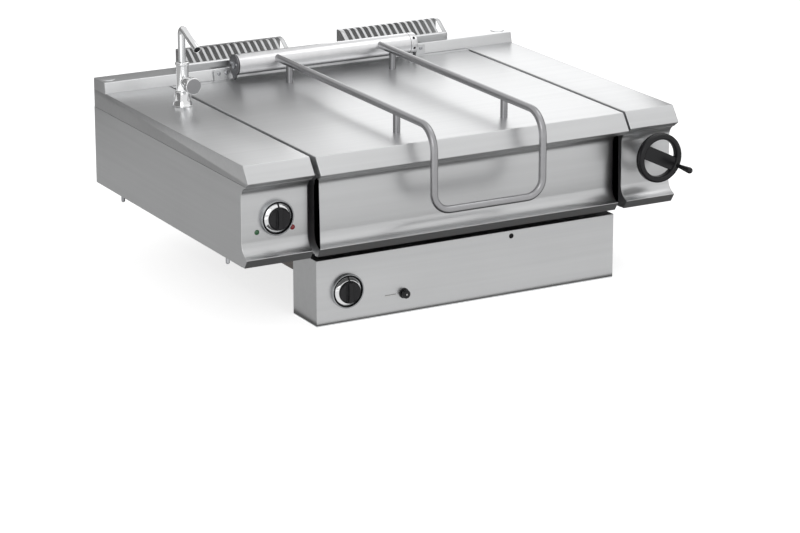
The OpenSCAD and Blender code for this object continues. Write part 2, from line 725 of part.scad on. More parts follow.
// Gas and water inlets and the cable gland under the left column
module supply_inlets() color("goldenrod") for (x = inlet_x) difference() {
  union() {
    rod_z(x, inlet_d, -22, -5, inlet_r);
    translate([x, y_nose + inlet_d, -5]) cylinder(h = 5, r = 16, $fn = 6);
    rod_z(x, inlet_d, 0, 20, inlet_r - 1);
    translate([x, y_nose + inlet_d, 2]) cylinder(h = 5, r = 15, $fn = 6);
  }
  rod_z(x, inlet_d, -23, 15, inlet_r - 2.5);
}
module cable_gland() color("dimgray") difference() {
  union() {
    rod_z(gland_x, inlet_d, -16, 14, 8);
    translate([gland_x, y_nose + inlet_d, -8]) cylinder(h = 8, r = 12, $fn = 6);
    translate([gland_x, y_nose + inlet_d, 2]) cylinder(h = 5, r = 12, $fn = 6);
  }
  rod_z(gland_x, inlet_d, -17, 15, 5);
}

// Pan basin: deep tray with rounded corners, wide rim and a chute that rises from its front wall to the rim
x_basin = [x_pan0 + basin_wall_gap, x_pan1 - basin_wall_gap];
lip_x = [x_mid - lip_w / 2, x_mid + lip_w / 2];
d_lip = flat_back + 6;
d_rim = cove_back + 6;
module pan_basin() color("silver") difference() {
  union() {
    prism(h_floor - basin_t, h_rim)
      round_rect(x_basin[0] - basin_t, x_basin[1] + basin_t,
        basin_front - basin_t, d_basin_rear + basin_t, basin_r);
    block(x_pan0 + sheet, x_pan1 - sheet, d_rim, d_flange - 2 * sheet, h_rim - 2, h_rim);
    along_x(lip_x[0] - 2, lip_x[1] + 2)
      polygon([[d_lip, h_rim - 2], [d_lip, h_rim], [basin_front, h_rim], [basin_front, h_rim - lip_h - 2]]);
  }
  prism(h_floor, h_rim + 1) round_rect(x_basin[0], x_basin[1], basin_front, d_basin_rear, basin_r);
  along_x(lip_x[0], lip_x[1]) polygon([[d_lip, h_rim], [d_lip, h_rim + 1], [basin_front + 1, h_rim + 1],
    [basin_front + 1, h_rim - lip_h]]);
}
module pan_bottom_plate() color("dimgray") prism(h_floor - basin_t - plate_t, h_floor - basin_t)
  round_rect(x_basin[0], x_basin[1], basin_front, d_basin_rear, basin_r);

// Pan front: the same profile as the fascias
module pan_front_panel() color("lightgray") {
  along_x(x_pan0 + sheet, x_pan1 - sheet) polygon(band(concat(front_line, [[foot_flange, 0]]), sheet));
}

// Casing round the sides and rear of the pan, open below
casing_foot = 4;
module casing_side(x0, x1) {
  along_x(x0, x1) polygon(concat([[cove_back, h_cove]], front_line, [[foot_flange, 0],
    [foot_flange, casing_foot], [d_pan_rear, casing_foot], [d_pan_rear, h_rim - 2],
    [cove_back + 4, h_rim - 2]]));
}
module pan_casing() color("darkgray") difference() {
  union() {
    casing_side(x_pan0, x_pan0 + sheet);
    casing_side(x_pan1 - sheet, x_pan1);
    block(x_pan0, x_pan1, d_pan_rear - sheet, d_pan_rear, casing_foot, h_rim - 2);
  }
  rod_x(x_pan0 - 1, x_pan1 + 1, axis_d, axis_h, trunnion_r + run_play);
}

// Trunnions on bars welded to the basin walls; the right one reaches the worm wheel
trunnion_x = [x_lc - cheek_t - bearing_l - 4, x_drive + 20];
bar_d = [axis_d - trunnion_r - 2, axis_d - trunnion_r - 2 + bar_l];
bar_z = [h_rim - 2 - 2 * trunnion_r, h_rim - 2];
module trunnions() color("lightsteelblue") {
  rod_x(trunnion_x[0], x_pan0 + sheet, axis_d, axis_h, trunnion_r);
  rod_x(x_pan0 - 5, x_pan0, axis_d, axis_h, h_rim - axis_h);
  block(x_pan0 + sheet, x_basin[0] - basin_t, bar_d[0], bar_d[1], bar_z[0], bar_z[1]);
  rod_x(x_pan1 - sheet, trunnion_x[1], axis_d, axis_h, trunnion_r);
  rod_x(x_pan1, x_pan1 + 5, axis_d, axis_h, h_rim - axis_h);
  block(x_basin[1] + basin_t, x_pan1 - sheet, bar_d[0], bar_d[1], bar_z[0], bar_z[1]);
}

// Worm wheel: involute teeth inclined to the lead of the worm, on a bored hub
pressure = 20;
base_r = wheel_r * cos(pressure);
tooth_lean = wheel_w * gear_module / (2 * worm_r) / wheel_r * 180 / PI;
function involute(r) = let (a = acos(min(1, base_r / r))) tan(a) - a * PI / 180;
function tooth_angle(r) = involute(wheel_r) - involute(r) + (worm_pitch / 4 - backlash / 2) / wheel_r;
function tooth(i) = let (a = -90 + (i + 0.5) * 360 / wheel_teeth)
  [for (s = [[-1.25, -1], [-0.5, -1], [0.2, -1], [1, -1], [1, 1], [0.2, 1], [-0.5, 1], [-1.25, 1]])
    let (r = wheel_r + s[0] * gear_module, b = a + s[1] * tooth_angle(r) * 180 / PI) r * [cos(b), sin(b)]];
module worm_wheel() color("darkgoldenrod") difference() {
  union() {
    translate([x_drive - wheel_w / 2, y_nose + axis_d, axis_h]) rotate([90, 0, 90]) rotate(tooth_lean / 2)
      linear_extrude(wheel_w, twist = tooth_lean, slices = 4)
        polygon([for (i = [0:wheel_teeth - 1]) each tooth(i)]);
    rod_x(x_drive - wheel_w / 2 - 5, x_drive + wheel_w / 2 + 5, axis_d, axis_h, trunnion_r + 7);
  }
  rod_x(x_drive - wheel_w, x_drive + wheel_w, axis_d, axis_h, trunnion_r + 0.02);
}

// Worm shaft: thread, shoulders against the bushes, and a journal out to the handwheel
worm_steps = 20;
worm_turns = 2 * floor(worm_l / worm_pitch / 2);
thread_half = worm_pitch / 4 - backlash / 2;
module worm_shaft() color("lightsteelblue") {
  translate([x_drive, y_nose + axis_d, worm_h]) sweep([for (i = [0:worm_turns * worm_steps])
    let (a = i * 360 / worm_steps, y = (worm_turns / 2 - i / worm_steps) * worm_pitch)
    [for (p = [[worm_root - 0.4, 1, -1.25], [worm_r + gear_module, 1, 1], [worm_r + gear_module, -1, 1],
      [worm_root - 0.4, -1, -1.25]])
      let (w = thread_half - p[2] * gear_module * flank) [p[0] * sin(a), y + p[1] * w, p[0] * cos(a)]]]);
  rod_y(x_drive, worm_h, set_play - handwheel_out - 5, ear_d[1] + ear_t + 8, worm_root);
  for (d = [[ear_d[0] + ear_t + set_play, axis_d - worm_l / 2 - 3],
    [axis_d + worm_l / 2 + 3, ear_d[1] - set_play]])
    rod_y(x_drive, worm_h, d[0], d[1], worm_root + 2);
}

// Handwheel: rounded rim, flat diagonal spoke, hub, and a pin for the grip
crank_a = -26;
hw_r = handwheel_r - handwheel_rim / 2;
hw_front = -handwheel_out - handwheel_t / 2;
crank_x = x_drive + hw_r * cos(crank_a);
crank_z = worm_h + hw_r * sin(crank_a);
module handwheel() color("darkslategray") difference() {
  union() {
    translate([x_drive, y_nose - handwheel_out, worm_h]) rotate([90, 0, 0]) rotate_extrude($fn = 96)
      translate([hw_r - handwheel_rim / 2, -handwheel_t / 2]) round_rect(0, handwheel_rim, 0, handwheel_t, 5);
    translate([x_drive, y_nose - handwheel_out, worm_h]) rotate([0, -crank_a, 0])
      translate([-hw_r, -5, -spoke_w / 2]) cube([2 * hw_r, 10, spoke_w]);
    rod_y(x_drive, worm_h, -handwheel_out - 7, -handwheel_out + 18, worm_root + 9);
    rod_y(crank_x, crank_z, hw_front - grip_l + 8, hw_front + 6, 3.5);
  }
  rod_y(x_drive, worm_h, -handwheel_out - 5, -handwheel_out + 19, worm_root + 0.02);
}
module crank_grip() color("black") difference() {
  translate([crank_x, y_nose + hw_front - set_play, crank_z]) rotate([90, 0, 0]) rotate_extrude()
    polygon(concat([[0, 0], [grip_r - 2.5, 0], [grip_r - 2, 3], [grip_r - 1.2, grip_l * 0.4]],
      arc([0, grip_l - grip_r], grip_r, 0, 90, 8)));
  rod_y(crank_x, crank_z, hw_front - grip_l + 8 - set_play, hw_front + 1, 3.5 + run_play);
}

// Rail on the rear rim of the pan, which carries the lid hinge
x_rail = [x_lc + 4, x_rc - 4];
module hinge_rail() color("silver") along_x(x_rail[0], x_rail[1])
  polygon(band([[d_flange, h_rim + 30], [d_flange, body_h - 1], [d_rail, body_h - 1], [d_rail, h_rim]], 2));

// Hinge brackets: a flange in front of the upstand and a drop-shaped web beside the tube
web_r = 23;
h_web = h_hinge + tube_r - web_r;
module hinge_bracket(x_web, side) {
  x_flange = side < 0 ? x_web - flange_w + bracket_t : x_web;
  difference() {
    union() {
      along_x(x_web, x_web + bracket_t) {
        translate([d_hinge, h_web]) circle(web_r);
        polygon([[d_hinge - web_r, h_web], [d_hinge - 2, body_h + 1], [d_flange + 3, body_h + 4],
          [d_flange + 3, h_up - 2], [d_hinge + web_r - 2, h_web + 9]]);
      }
      block(x_flange, x_flange + flange_w, d_flange, d_flange + 3, h_rim + 34, h_up - 1);
    }
    rod_x(x_web - 1, x_web + bracket_t + 1, d_hinge, h_hinge, shaft_r + 0.02);
  }
}
x_web = [x_tube0 - shaft_flange - bracket_t - 1, x_tube1 + 1];
module hinge_brackets() color("dimgray") {
  hinge_bracket(x_web[0], -1);
  hinge_bracket(x_web[1], 1);
}

// Hinge shaft: a flange screwed to the left web, the far end in the right web
module hinge_shaft() color("lightsteelblue") {
  rod_x(x_web[0], x_web[1] + bracket_t, d_hinge, h_hinge, shaft_r);
  rod_x(x_tube0 - 1 - shaft_flange, x_tube0 - 1, d_hinge, h_hinge, web_r - 3);
}
screw_x = [x_tube0 - flange_w + 9, x_tube0 - 19, x_tube1 + 16, x_tube1 + flange_w - 12];
module hinge_screws() color("whitesmoke") {
  for (x = screw_x) rod_y(x, body_h + 12, d_flange - 2.5, d_flange, 5);
  for (s = [-1, 1]) rod_x(x_web[0] - 2.5, x_web[0], d_hinge + s * (shaft_r + 6), h_hinge + 3, 3.5);
}

// Collar that holds the fixed end of the lid spring, with tommy-bar holes
module spring_collar() color("silver") difference() {
  rod_x(x_collar + 1, x_tube1, d_hinge, h_hinge, tube_r);
  rod_x(x_collar, x_tube1 + 1, d_hinge, h_hinge, shaft_r + 0.02);
  for (a = [20, 65]) translate([x_collar + collar_l / 2, y_nose + d_hinge, h_hinge]) rotate([-a, 0, 0])
    translate([0, -tube_r + 9, 0]) rotate([90, 0, 0]) cylinder(h = 20, r = 4);
}

// Lid: one bent sheet with the nose, side skirts and rear skirt
module lid_panel() color("gainsboro") {
  path = [[d_lid, body_h], [nose_back - lid_out, body_h], [-lid_out, h_nose - 1.5],
    [nose_end - lid_out, h_nose - 1.5 - nose_fall * nose_end]];
  skirt = concat(path, [[nose_end - lid_out, h_skirt], [d_lid, h_skirt]]);
  along_x(x_lid0, x_lid1) polygon(band(path, sheet));
  along_x(x_lid0, x_lid0 + sheet) polygon(skirt);
  along_x(x_lid1 - sheet, x_lid1) polygon(skirt);
  block(x_lid0, x_lid1, d_lid - sheet, d_lid, h_skirt, body_h);
}

// Inner skin of the lid, just above the pan rim, stiffened by hat sections
module lid_inner_skin() color("silver") {
  z = h_rim + lid_rest;
  block(x_lid0 + sheet, x_lid1 - sheet, nose_end, d_lid - sheet, z, z + sheet);
  for (d = [0.25, 0.5, 0.75]) let (y = d_lid * d) difference() {
    block(x_lid0 + 20, x_lid1 - 20, y, y + 40, z + sheet, body_h - sheet);
    block(x_lid0 + 19, x_lid1 - 19, y + 1, y + 39, z + sheet, body_h - sheet - 1);
  }
}

// Hinge tube with bored end discs and an anchor disc for the spring
x_anchor = x_collar - 16 - spring_turns * 3.4 * spring_wire;
module hinge_tube() color("silver") difference() {
  rod_x(x_tube0, x_collar, d_hinge, h_hinge, tube_r);
  for (x = [[x_tube0 + 6, x_anchor - 6], [x_anchor, x_collar - 6]])
    rod_x(x[0], x[1], d_hinge, h_hinge, tube_r - tube_t);
  rod_x(x_tube0 - 1, x_collar + 1, d_hinge, h_hinge, shaft_r + run_play);
}

// Torsion spring inside the tube, between anchor disc and end disc
spring_r = (tube_r - tube_t + shaft_r) / 2;
spring_steps = 16;
module lid_spring() color("slategray") {
  run = x_collar - 6 - x_anchor - 2 * spring_wire - 2 * set_play;
  n = spring_turns * spring_steps;
  translate([x_anchor + spring_wire + set_play, y_nose + d_hinge, h_hinge])
    sweep([for (i = [0:n]) let (a = i * 360 / spring_steps)
      [for (k = [5:-1:0]) let (r = spring_r + spring_wire * cos(60 * k))
      [i / n * run + spring_wire * sin(60 * k), r * cos(a), r * sin(a)]]]);
}

// Handle: arms from the tube, bent down in front of the nose, joined by a bar
d_leg = -handle_out;
module quarter(r, r_tube) {
  rotate_extrude(angle = 90) translate([r, 0]) circle(r_tube);
}
module handle_run(r) {
  for (x = x_arm) {
    rod_y(x, h_arm, d_leg + bend_top, d_hinge, r);
    translate([x, y_nose + d_leg + bend_top, h_arm - bend_top]) rotate([90, 0, -90]) quarter(bend_top, r);
    rod_z(x, d_leg, h_bar + bend_low, h_arm - bend_top, r);
  }
  translate([x_arm[0] + bend_low, y_nose + d_leg, h_bar + bend_low]) rotate([90, 180, 0]) quarter(bend_low, r);
  translate([x_arm[1] - bend_low, y_nose + d_leg, h_bar + bend_low]) rotate([90, 90, 0]) quarter(bend_low, r);
  rod_x(x_arm[0] + bend_low, x_arm[1] - bend_low, d_leg, h_bar, r);
}
module lid_handle() color("lightgray") difference() {
  handle_run(handle_r);
  handle_run(handle_r - sheet);
  rod_x(x_tube0, x_tube1, d_hinge, h_hinge, tube_r);
}
module handle_posts() color("lightgray") difference() {
  for (x = x_arm) for (d = [post_front, d_up - post_rear]) rod_z(x, d, body_h, h_arm - handle_r / 2, handle_r - 0.5);
  for (x = x_arm) rod_y(x, h_arm, 0, d_hinge, handle_r);
}

// Control knob: skirt ring, a cap with a raised ridge and a pointer notch, and a stem
module knob(x, z, d, stem) {
  skirt = bezel_r - 10;
  translate([x, y_nose + d, z]) rotate([90, 0, 0]) difference() {
    union() {
      rotate_extrude() polygon([[0, 1], [skirt, 1], [skirt, 10], [skirt - 1.5, 12], [knob_r, 12.5],
        [knob_r - 1, knob_out - 5], [knob_r - 3, knob_out - 3], [0, knob_out - 3]]);
      intersection() {
        translate([-5, -knob_r, knob_out - 4]) cube([10, 2 * knob_r, 4]);
        cylinder(h = knob_out, r = knob_r - 3);
      }
    }
    translate([0, skirt + 0.5, 12]) cube([2.4, 8, 4], center = true);
  }
  rod_y(x, z, d - 2, d + stem, stem_r);
}
module thermostat_knob() color("black") knob(x_thermo, thermo_h, flat_back, 20);
module gas_knob() color("black") knob(x_gas, z_gas, box_back, 30);

// Igniter button: mushroom head on a stem
module igniter_button() color("black") {
  translate([x_igniter, y_nose + box_back - 3 - button_travel - 0.2, z_igniter]) rotate([90, 0, 0])
    rotate_extrude() polygon([[0, 0], [12.5, 0], [12.5, 5], [10.5, 8], [0, 9]]);
  rod_y(x_igniter, z_igniter, box_back - 4 - button_travel, box_back + 20, 5);
}

// Spout: riser, tight bend and a straight run down to the outlet
spout_bend = 14;
spout_lap = 1;
module along_spout(from, length, r) {
  translate([x_tap, y_nose + tap_d - spout_bend, z_tap + spout_h - spout_bend]) rotate([spout_slope, 0, 0])
    translate([0, spout_lap - from, spout_bend]) rotate([90, 0, 0]) cylinder(h = length, r = r);
}
module tap_spout() color("whitesmoke") difference() {
  l = (spout_reach - spout_bend + spout_bend * cos(90 + spout_slope)) / cos(spout_slope);
  union() {
    rod_z(x_tap, tap_d, z_tap + tap_body_h + set_play, z_tap + spout_h - spout_bend + spout_lap, spout_r - 0.1);
    rod_z(x_tap, tap_d, z_tap + tap_body_h - socket_l + 2, z_tap + tap_body_h + 1, spout_r - 2);
    translate([x_tap, y_nose + tap_d - spout_bend, z_tap + spout_h - spout_bend]) rotate([90, 0, 90])
      rotate_extrude(angle = 90 + spout_slope) translate([spout_bend, 0]) circle(spout_r);
    along_spout(0, l, spout_r - 0.1);
  }
  along_spout(10, l, spout_r - 1.2);
}

// Tap knob: tapered grip with finger hollows and a flat face
module tap_knob() color("whitesmoke") {
  translate([x_tap, y_nose + d_boss - set_play, z_tap + tap_knob_h]) rotate([90, 0, 0]) difference() {
    rotate_extrude() polygon([[0, 0], [13, 0], [15, 4], [tap_knob_r - 1, 24], [tap_knob_r, 28],
      [tap_knob_r, 45],
      [tap_knob_r - 1, 46], [0, 46]]);
    for (a = [30:60:330]) rotate(a) translate([tap_knob_r + 5, 0, 16]) cylinder(h = 22, r = 8);
  }
  rod_y(x_tap, z_tap + tap_knob_h, d_boss - 1, d_boss + 12, 4);
}

left_worktop();
right_worktop();
left_side_panel();
right_side_panel();
left_fascia();
right_fascia();
left_inner_cheek();
right_inner_cheek();
column_floors();
support_studs();
rear_upstand();
rear_panel();
upstand_caps();
lower_crossmember();
rear_crossmember();
flue_duct();
left_flue_grille();
right_flue_grille();
control_box();
control_box_back();
combustion_tray();
burners();
gas_manifold();
gas_valve();
igniter_body();
thermostat_body();
green_lamp();
red_lamp();
knob_bezels();
trunnion_bearings();
worm_bracket();
worm_bushes();
tap_body();
supply_inlets();
cable_gland();
pan_basin();
pan_bottom_plate();
pan_front_panel();
pan_casing();
trunnions();
worm_wheel();
hinge_rail();
hinge_brackets();
hinge_shaft();
hinge_screws();
spring_collar();
lid_panel();
lid_inner_skin();
hinge_tube();
lid_handle();
handle_posts();
lid_spring();
handwheel();
worm_shaft();
crank_grip();
thermostat_knob();
gas_knob();
igniter_button();
tap_spout();
tap_knob();
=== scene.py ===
"""Looks of a tilting bratt pan: rounded sheet steel, bent tubes, knobs, tap and finishes over its solids.

All shapes are given in millimetres as (x, d, z): x to the right, d measured back from the front of the
worktop's nose, z up from the underside of the columns. metres() turns them into the frame's metres.
"""

import math

import bpy
import numpy as np
from bpy.props import FloatProperty, FloatVectorProperty, IntProperty, PointerProperty
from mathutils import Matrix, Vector


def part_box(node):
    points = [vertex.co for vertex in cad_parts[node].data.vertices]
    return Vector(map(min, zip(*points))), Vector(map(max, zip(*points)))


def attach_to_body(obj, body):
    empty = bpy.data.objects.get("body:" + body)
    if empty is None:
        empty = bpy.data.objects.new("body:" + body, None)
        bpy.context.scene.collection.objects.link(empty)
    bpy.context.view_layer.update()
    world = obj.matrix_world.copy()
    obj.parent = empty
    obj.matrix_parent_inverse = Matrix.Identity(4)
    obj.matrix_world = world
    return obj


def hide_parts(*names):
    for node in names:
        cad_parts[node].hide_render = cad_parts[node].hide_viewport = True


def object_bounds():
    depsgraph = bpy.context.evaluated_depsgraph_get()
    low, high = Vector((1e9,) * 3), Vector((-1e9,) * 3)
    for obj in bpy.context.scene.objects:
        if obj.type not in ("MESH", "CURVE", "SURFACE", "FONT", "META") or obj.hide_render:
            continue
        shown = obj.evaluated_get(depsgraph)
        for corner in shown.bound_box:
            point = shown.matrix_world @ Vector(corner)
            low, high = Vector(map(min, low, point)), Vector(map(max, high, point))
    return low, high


bl_info = {
    "name": "Tilting bratt pan",
    "version": (1, 0, 0),
    "blender": (4, 5, 0),
    "location": "3D View > Sidebar > Bratt pan",
    "description": "Sheet steel, tubes, controls and finishes of a tilting bratt pan",
    "category": "Object",
}

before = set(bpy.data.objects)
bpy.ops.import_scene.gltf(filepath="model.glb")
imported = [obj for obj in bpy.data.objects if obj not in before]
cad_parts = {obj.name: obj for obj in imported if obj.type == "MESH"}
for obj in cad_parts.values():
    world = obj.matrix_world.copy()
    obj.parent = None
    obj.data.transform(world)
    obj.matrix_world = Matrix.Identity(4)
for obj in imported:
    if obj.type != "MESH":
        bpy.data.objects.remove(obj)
CAD_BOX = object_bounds()
NOSE_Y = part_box("left_worktop")[0].y * 1000


# Directions, and sizes read from the solids

RIGHT, LEFT = (1, 0, 0), (-1, 0, 0)
BACK, FORWARD = (0, 1, 0), (0, -1, 0)
UP = (0, 0, 1)


def extent(node):
    """Low and high corner of a solid, as (x, d, z) in millimetres."""
    low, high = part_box(node)
    shift = np.array([0.0, NOSE_Y, 0.0])
    return np.array(low) * 1000 - shift, np.array(high) * 1000 - shift


def front_of(node):
    """Middle of a solid's front."""
    low, high = extent(node)
    middle = (low + high) / 2
    middle[1] = low[1]
    return middle


def metres(points):
    """Millimetres (x, d, z) to metres in the frame: the nose line is added to d."""
    return (np.asarray(points, float) + (0.0, NOSE_Y, 0.0)) * 0.001


COLUMN_LEFT = extent("left_worktop")
COLUMN_RIGHT = extent("right_worktop")
LID = extent("lid_panel")
PAN = extent("pan_casing")
UPSTAND = extent("rear_upstand")
BOX = extent("control_box")
TOP = 250.0
NOSE_LINE = [(29.0, TOP), (0.0, 211.0), (18.5, 198.0)]
SEAM = 201.6
COVE = (18.8, 197.3)
FLAT_BACK, FLAT_TOP, FLAT_LOW = 40.8, 168.0, 59.0
TOE = (11.0, 22.5)
FOOT = (26.0, 0.0)


# Lines and sections


def arc_points(centre, radius, start, stop, steps=8):
    """Points of an arc in (d, z) from one angle to another, in degrees."""
    turn = np.radians(np.linspace(start, stop, steps + 1))
    return [(centre[0] + radius * math.cos(a), centre[1] + radius * math.sin(a)) for a in turn]


def filleted(points, radii, steps=6):
    """An open path with each inner corner replaced by an arc tangent to both sides.

    For half angle h between the sides, the arc starts radius / tan h from the corner and its centre lies
    radius / sin h along the bisector.
    """
    points = [np.asarray(p, float) for p in points]
    out = [points[0]]
    for before, corner, after, r in zip(points, points[1:], points[2:], radii[1:]):
        u = (before - corner) / np.linalg.norm(before - corner)
        v = (after - corner) / np.linalg.norm(after - corner)
        half = math.acos(np.clip(u @ v, -1, 1)) / 2
        if r <= 0 or half > math.pi / 2 - 0.01:
            out.append(corner)
            continue
        centre = corner + (u + v) / np.linalg.norm(u + v) * r / math.sin(half)
        a = corner + u * r / math.tan(half) - centre
        b = corner + v * r / math.tan(half) - centre
        sweep = math.acos(np.clip(a @ b / r / r, -1, 1))
        t = np.linspace(0, 1, steps + 1)[:, None]
        out.extend(centre + (np.sin((1 - t) * sweep) * a + np.sin(t * sweep) * b) / math.sin(sweep))
    out.append(points[-1])
    return np.array(out)


def side_normals(path):
    """Normals on the left of an open path in (d, z), as long as a mitre that keeps an even distance needs."""
    steps = np.diff(path, axis=0)
    left = np.stack([-steps[:, 1], steps[:, 0]], 1) / np.linalg.norm(steps, axis=1)[:, None]
    both = np.vstack([left[:1], left[:-1] + left[1:], left[-1:]])
    both /= np.linalg.norm(both, axis=1)[:, None]
    reach = np.ones(len(path))
    reach[1:-1] = 1 / np.maximum((both[1:-1] * left[1:]).sum(1), 0.5)
    return both * reach[:, None]


def front_profile():
    """The fascia line in (d, z): an arc into the flat at the top, an arc out of it below, then the bevel.

    An arc tangent to the flat that ends at offset u and height v from it has radius (u*u + v*v) / (2*u).
    """
    u, v = FLAT_BACK - COVE[0], COVE[1] - FLAT_TOP
    cove_r = (u * u + v * v) / (2 * u)
    cove = arc_points((FLAT_BACK - cove_r, FLAT_TOP), cove_r, math.degrees(math.asin(v / cove_r)), 0, 20)
    u, v = FLAT_BACK - TOE[0], FLAT_LOW - TOE[1]
    toe_r = (u * u + v * v) / (2 * u)
    toe = arc_points((FLAT_BACK - toe_r, FLAT_LOW), toe_r, 0, -math.degrees(math.asin(v / toe_r)), 20)
    fold, lip = 1.5, 14
    bevel = filleted([toe[-2], TOE, FOOT, (FOOT[0] + lip, 0.0)], [0, fold, fold, 0])
    return cove + toe[:-1] + list(bevel)[1:]


def ring_loop(inner, outer, height, r0, r1):
    """Closed section (r, h) of a ring between two radii, its outer tip rounded by r0, its inner by r1."""
    turn = np.radians(np.linspace(0, 90, 5))
    a = [(outer - r0 + r0 * math.cos(t), height - r0 + r0 * math.sin(t)) for t in turn]
    b = [(inner + r1 - r1 * math.sin(t), height - r1 + r1 * math.cos(t)) for t in turn]
    return [(inner, 0), (outer, 0), *a, *b]


def smooth(t):
    """Smooth step t * t * (3 - 2 * t), with t kept between 0 and 1."""
    t = np.clip(t, 0, 1)
    return t * t * (3 - 2 * t)


def rounded(c):
    """Cosine or sine drawn towards a rounded square: sign(c) * |c| ^ (2 / 2.7)."""
    return math.copysign(abs(c) ** (2 / 2.7), c)


# Surfaces


def new_piece(name, verts, faces, material, smooth_angle=35):
    """A mesh object from vertices in millimetres and faces; edges sharper than the angle stay crisp."""
    mesh = bpy.data.meshes.new(name)
    mesh.from_pydata(metres(verts).tolist(), [], [tuple(f) for f in faces])
    mesh.validate()
    mesh.shade_smooth()
    mesh.set_sharp_from_angle(angle=math.radians(smooth_angle))
    mesh.materials.append(material)
    piece = bpy.data.objects.new(name, mesh)
    bpy.context.scene.collection.objects.link(piece)
    return piece


def grid_faces(rows, cols, wrap_rows=False, wrap_cols=False):
    """Quads (i, j), (i, j+1), (i+1, j+1), (i+1, j) over a grid, closed in either direction if asked."""
    i = np.arange(rows if wrap_rows else rows - 1)
    j = np.arange(cols if wrap_cols else cols - 1)
    i, j = [a.ravel() for a in np.meshgrid(i, j, indexing="ij")]
    k, m = (i + 1) % rows, (j + 1) % cols
    return np.stack([i * cols + j, i * cols + m, k * cols + m, k * cols + j], 1).tolist()


def capped_grid(rows, cols):
    """Faces of a grid whose rows are closed rings, with a flat face over the first ring and the last."""
    last = (rows - 1) * cols
    caps = [list(range(cols))[::-1], [last + n for n in range(cols)]]
    return grid_faces(rows, cols, wrap_cols=True) + caps


def flipped(faces):
    """The same faces seen from their other side."""
    return [f[::-1] for f in faces]


def lathe(name, profile, centre, axis, material, steps=64, smooth_angle=35, closed=False):
    """Surface of revolution: point(s, a) = centre + r(s) * (e1 cos a + e2 sin a) + h(s) * axis.

    The profile lists (r, h) from the base outwards to the tip. An open profile ends in two flat discs; a
    closed one is a ring whose last point joins the first.
    """
    profile = np.asarray(profile, float)
    axis = np.asarray(axis, float) / np.linalg.norm(axis)
    e1 = np.cross(axis, UP if abs(axis[2]) < 0.9 else RIGHT)
    e1 /= np.linalg.norm(e1)
    e2 = np.cross(axis, e1)
    turn = np.linspace(0, 2 * math.pi, steps, endpoint=False)
    ring = np.cos(turn)[:, None] * e1 + np.sin(turn)[:, None] * e2
    grid = np.asarray(centre) + profile[:, None, :1] * ring + profile[:, None, 1:] * axis
    rows = len(profile)
    faces = grid_faces(rows, steps, wrap_rows=True, wrap_cols=True) if closed else capped_grid(rows, steps)
    return new_piece(name, grid.reshape(-1, 3), faces, material, smooth_angle)


def turned_grid(name, grid, material, smooth_angle):
    """A piece from a grid of rings that run from its foot forwards, with a flat face over each end."""
    rows, cols, _ = grid.shape
    return new_piece(name, grid.reshape(-1, 3), flipped(capped_grid(rows, cols)), material, smooth_angle)


def tube(name, path, radius, material, steps=32):
    """A round bar along a path: point(s, a) = p(s) + radius * (n(s) cos a + b(s) sin a).

    The frame (n, b) is carried along the path with the least turning.
    """
    path = np.asarray(path, float)
    tangent = np.gradient(path, axis=0)
    tangent /= np.linalg.norm(tangent, axis=1)[:, None]
    normal = np.cross(tangent[0], (0.3, 0.2, 1.0) if abs(tangent[0][2]) < 0.8 else (1.0, 0.2, 0.0))
    frames = []
    for t in tangent:
        normal = normal - t * (normal @ t)
        normal /= np.linalg.norm(normal)
        frames.append((normal, np.cross(t, normal)))
    n, b = np.array(frames).transpose(1, 0, 2)
    turn = np.linspace(0, 2 * math.pi, steps, endpoint=False)
    ring = n[:, None] * np.cos(turn)[None, :, None] + b[:, None] * np.sin(turn)[None, :, None]
    grid = path[:, None] + radius * ring
    return new_piece(name, grid.reshape(-1, 3), capped_grid(len(path), steps), material, 50)


def soften(piece, width, segments=2):
    """Breaks the sharp edges of a piece."""
    soft = piece.modifiers.new("edge", "BEVEL")
    soft.width, soft.segments, soft.limit_method = width * 0.001, segments, "ANGLE"
    return piece


def add_wall(piece, thickness, inside=None):
    """Gives a surface its sheet thickness, inwards; the inner face may have a finish of its own."""
    wall = piece.modifiers.new("wall", "SOLIDIFY")
    if inside:
        piece.data.materials.append(inside)
        wall.material_offset = 1
    wall.thickness = thickness * 0.001
    wall.offset = -1
    wall.use_even_offset = True
    return piece


def cut(piece, cutters):
    """Takes the cutters out of a piece, wall and edges included, and leaves a plain mesh."""
    for cutter in cutters:
        bite = piece.modifiers.new("cut", "BOOLEAN")
        bite.object, bite.operation, bite.solver = cutter, "DIFFERENCE", "EXACT"
    bpy.context.view_layer.update()
    solid = bpy.data.meshes.new_from_object(piece.evaluated_get(bpy.context.evaluated_depsgraph_get()))
    piece.modifiers.clear()
    piece.data = solid
    solid.set_sharp_from_angle(angle=math.radians(35))
    for cutter in cutters:
        bpy.data.objects.remove(cutter)
    return piece


def folded_rows(path, x0, x1, bend, steps=4):
    """Sections of a sheet between two folded ends, and their number.

    Over each end, a quarter turn, the section moves by bend * (1 - cos a) along X and lies
    bend * (1 - sin a) inside the path.
    """
    turn = np.linspace(0, math.pi / 2, steps + 1)
    near = [(x0 + bend * (1 - math.cos(a)), bend * (1 - math.sin(a))) for a in turn]
    rings = near + [(x0 + x1 - x, s) for x, s in near[::-1]]
    normals = side_normals(path)
    rows = [np.column_stack([np.full(len(path), x), path + normals * s]) for x, s in rings]
    return np.vstack(rows), len(rings)


def wrapped_strip(name, path, x0, x1, bend, thickness, material):
    """A bent sheet whose two ends turn back: the path carried along X between folded ends."""
    path = np.asarray(path, float)
    verts, rows = folded_rows(path, x0, x1, bend)
    return add_wall(new_piece(name, verts, grid_faces(rows, len(path)), material, 50), thickness)


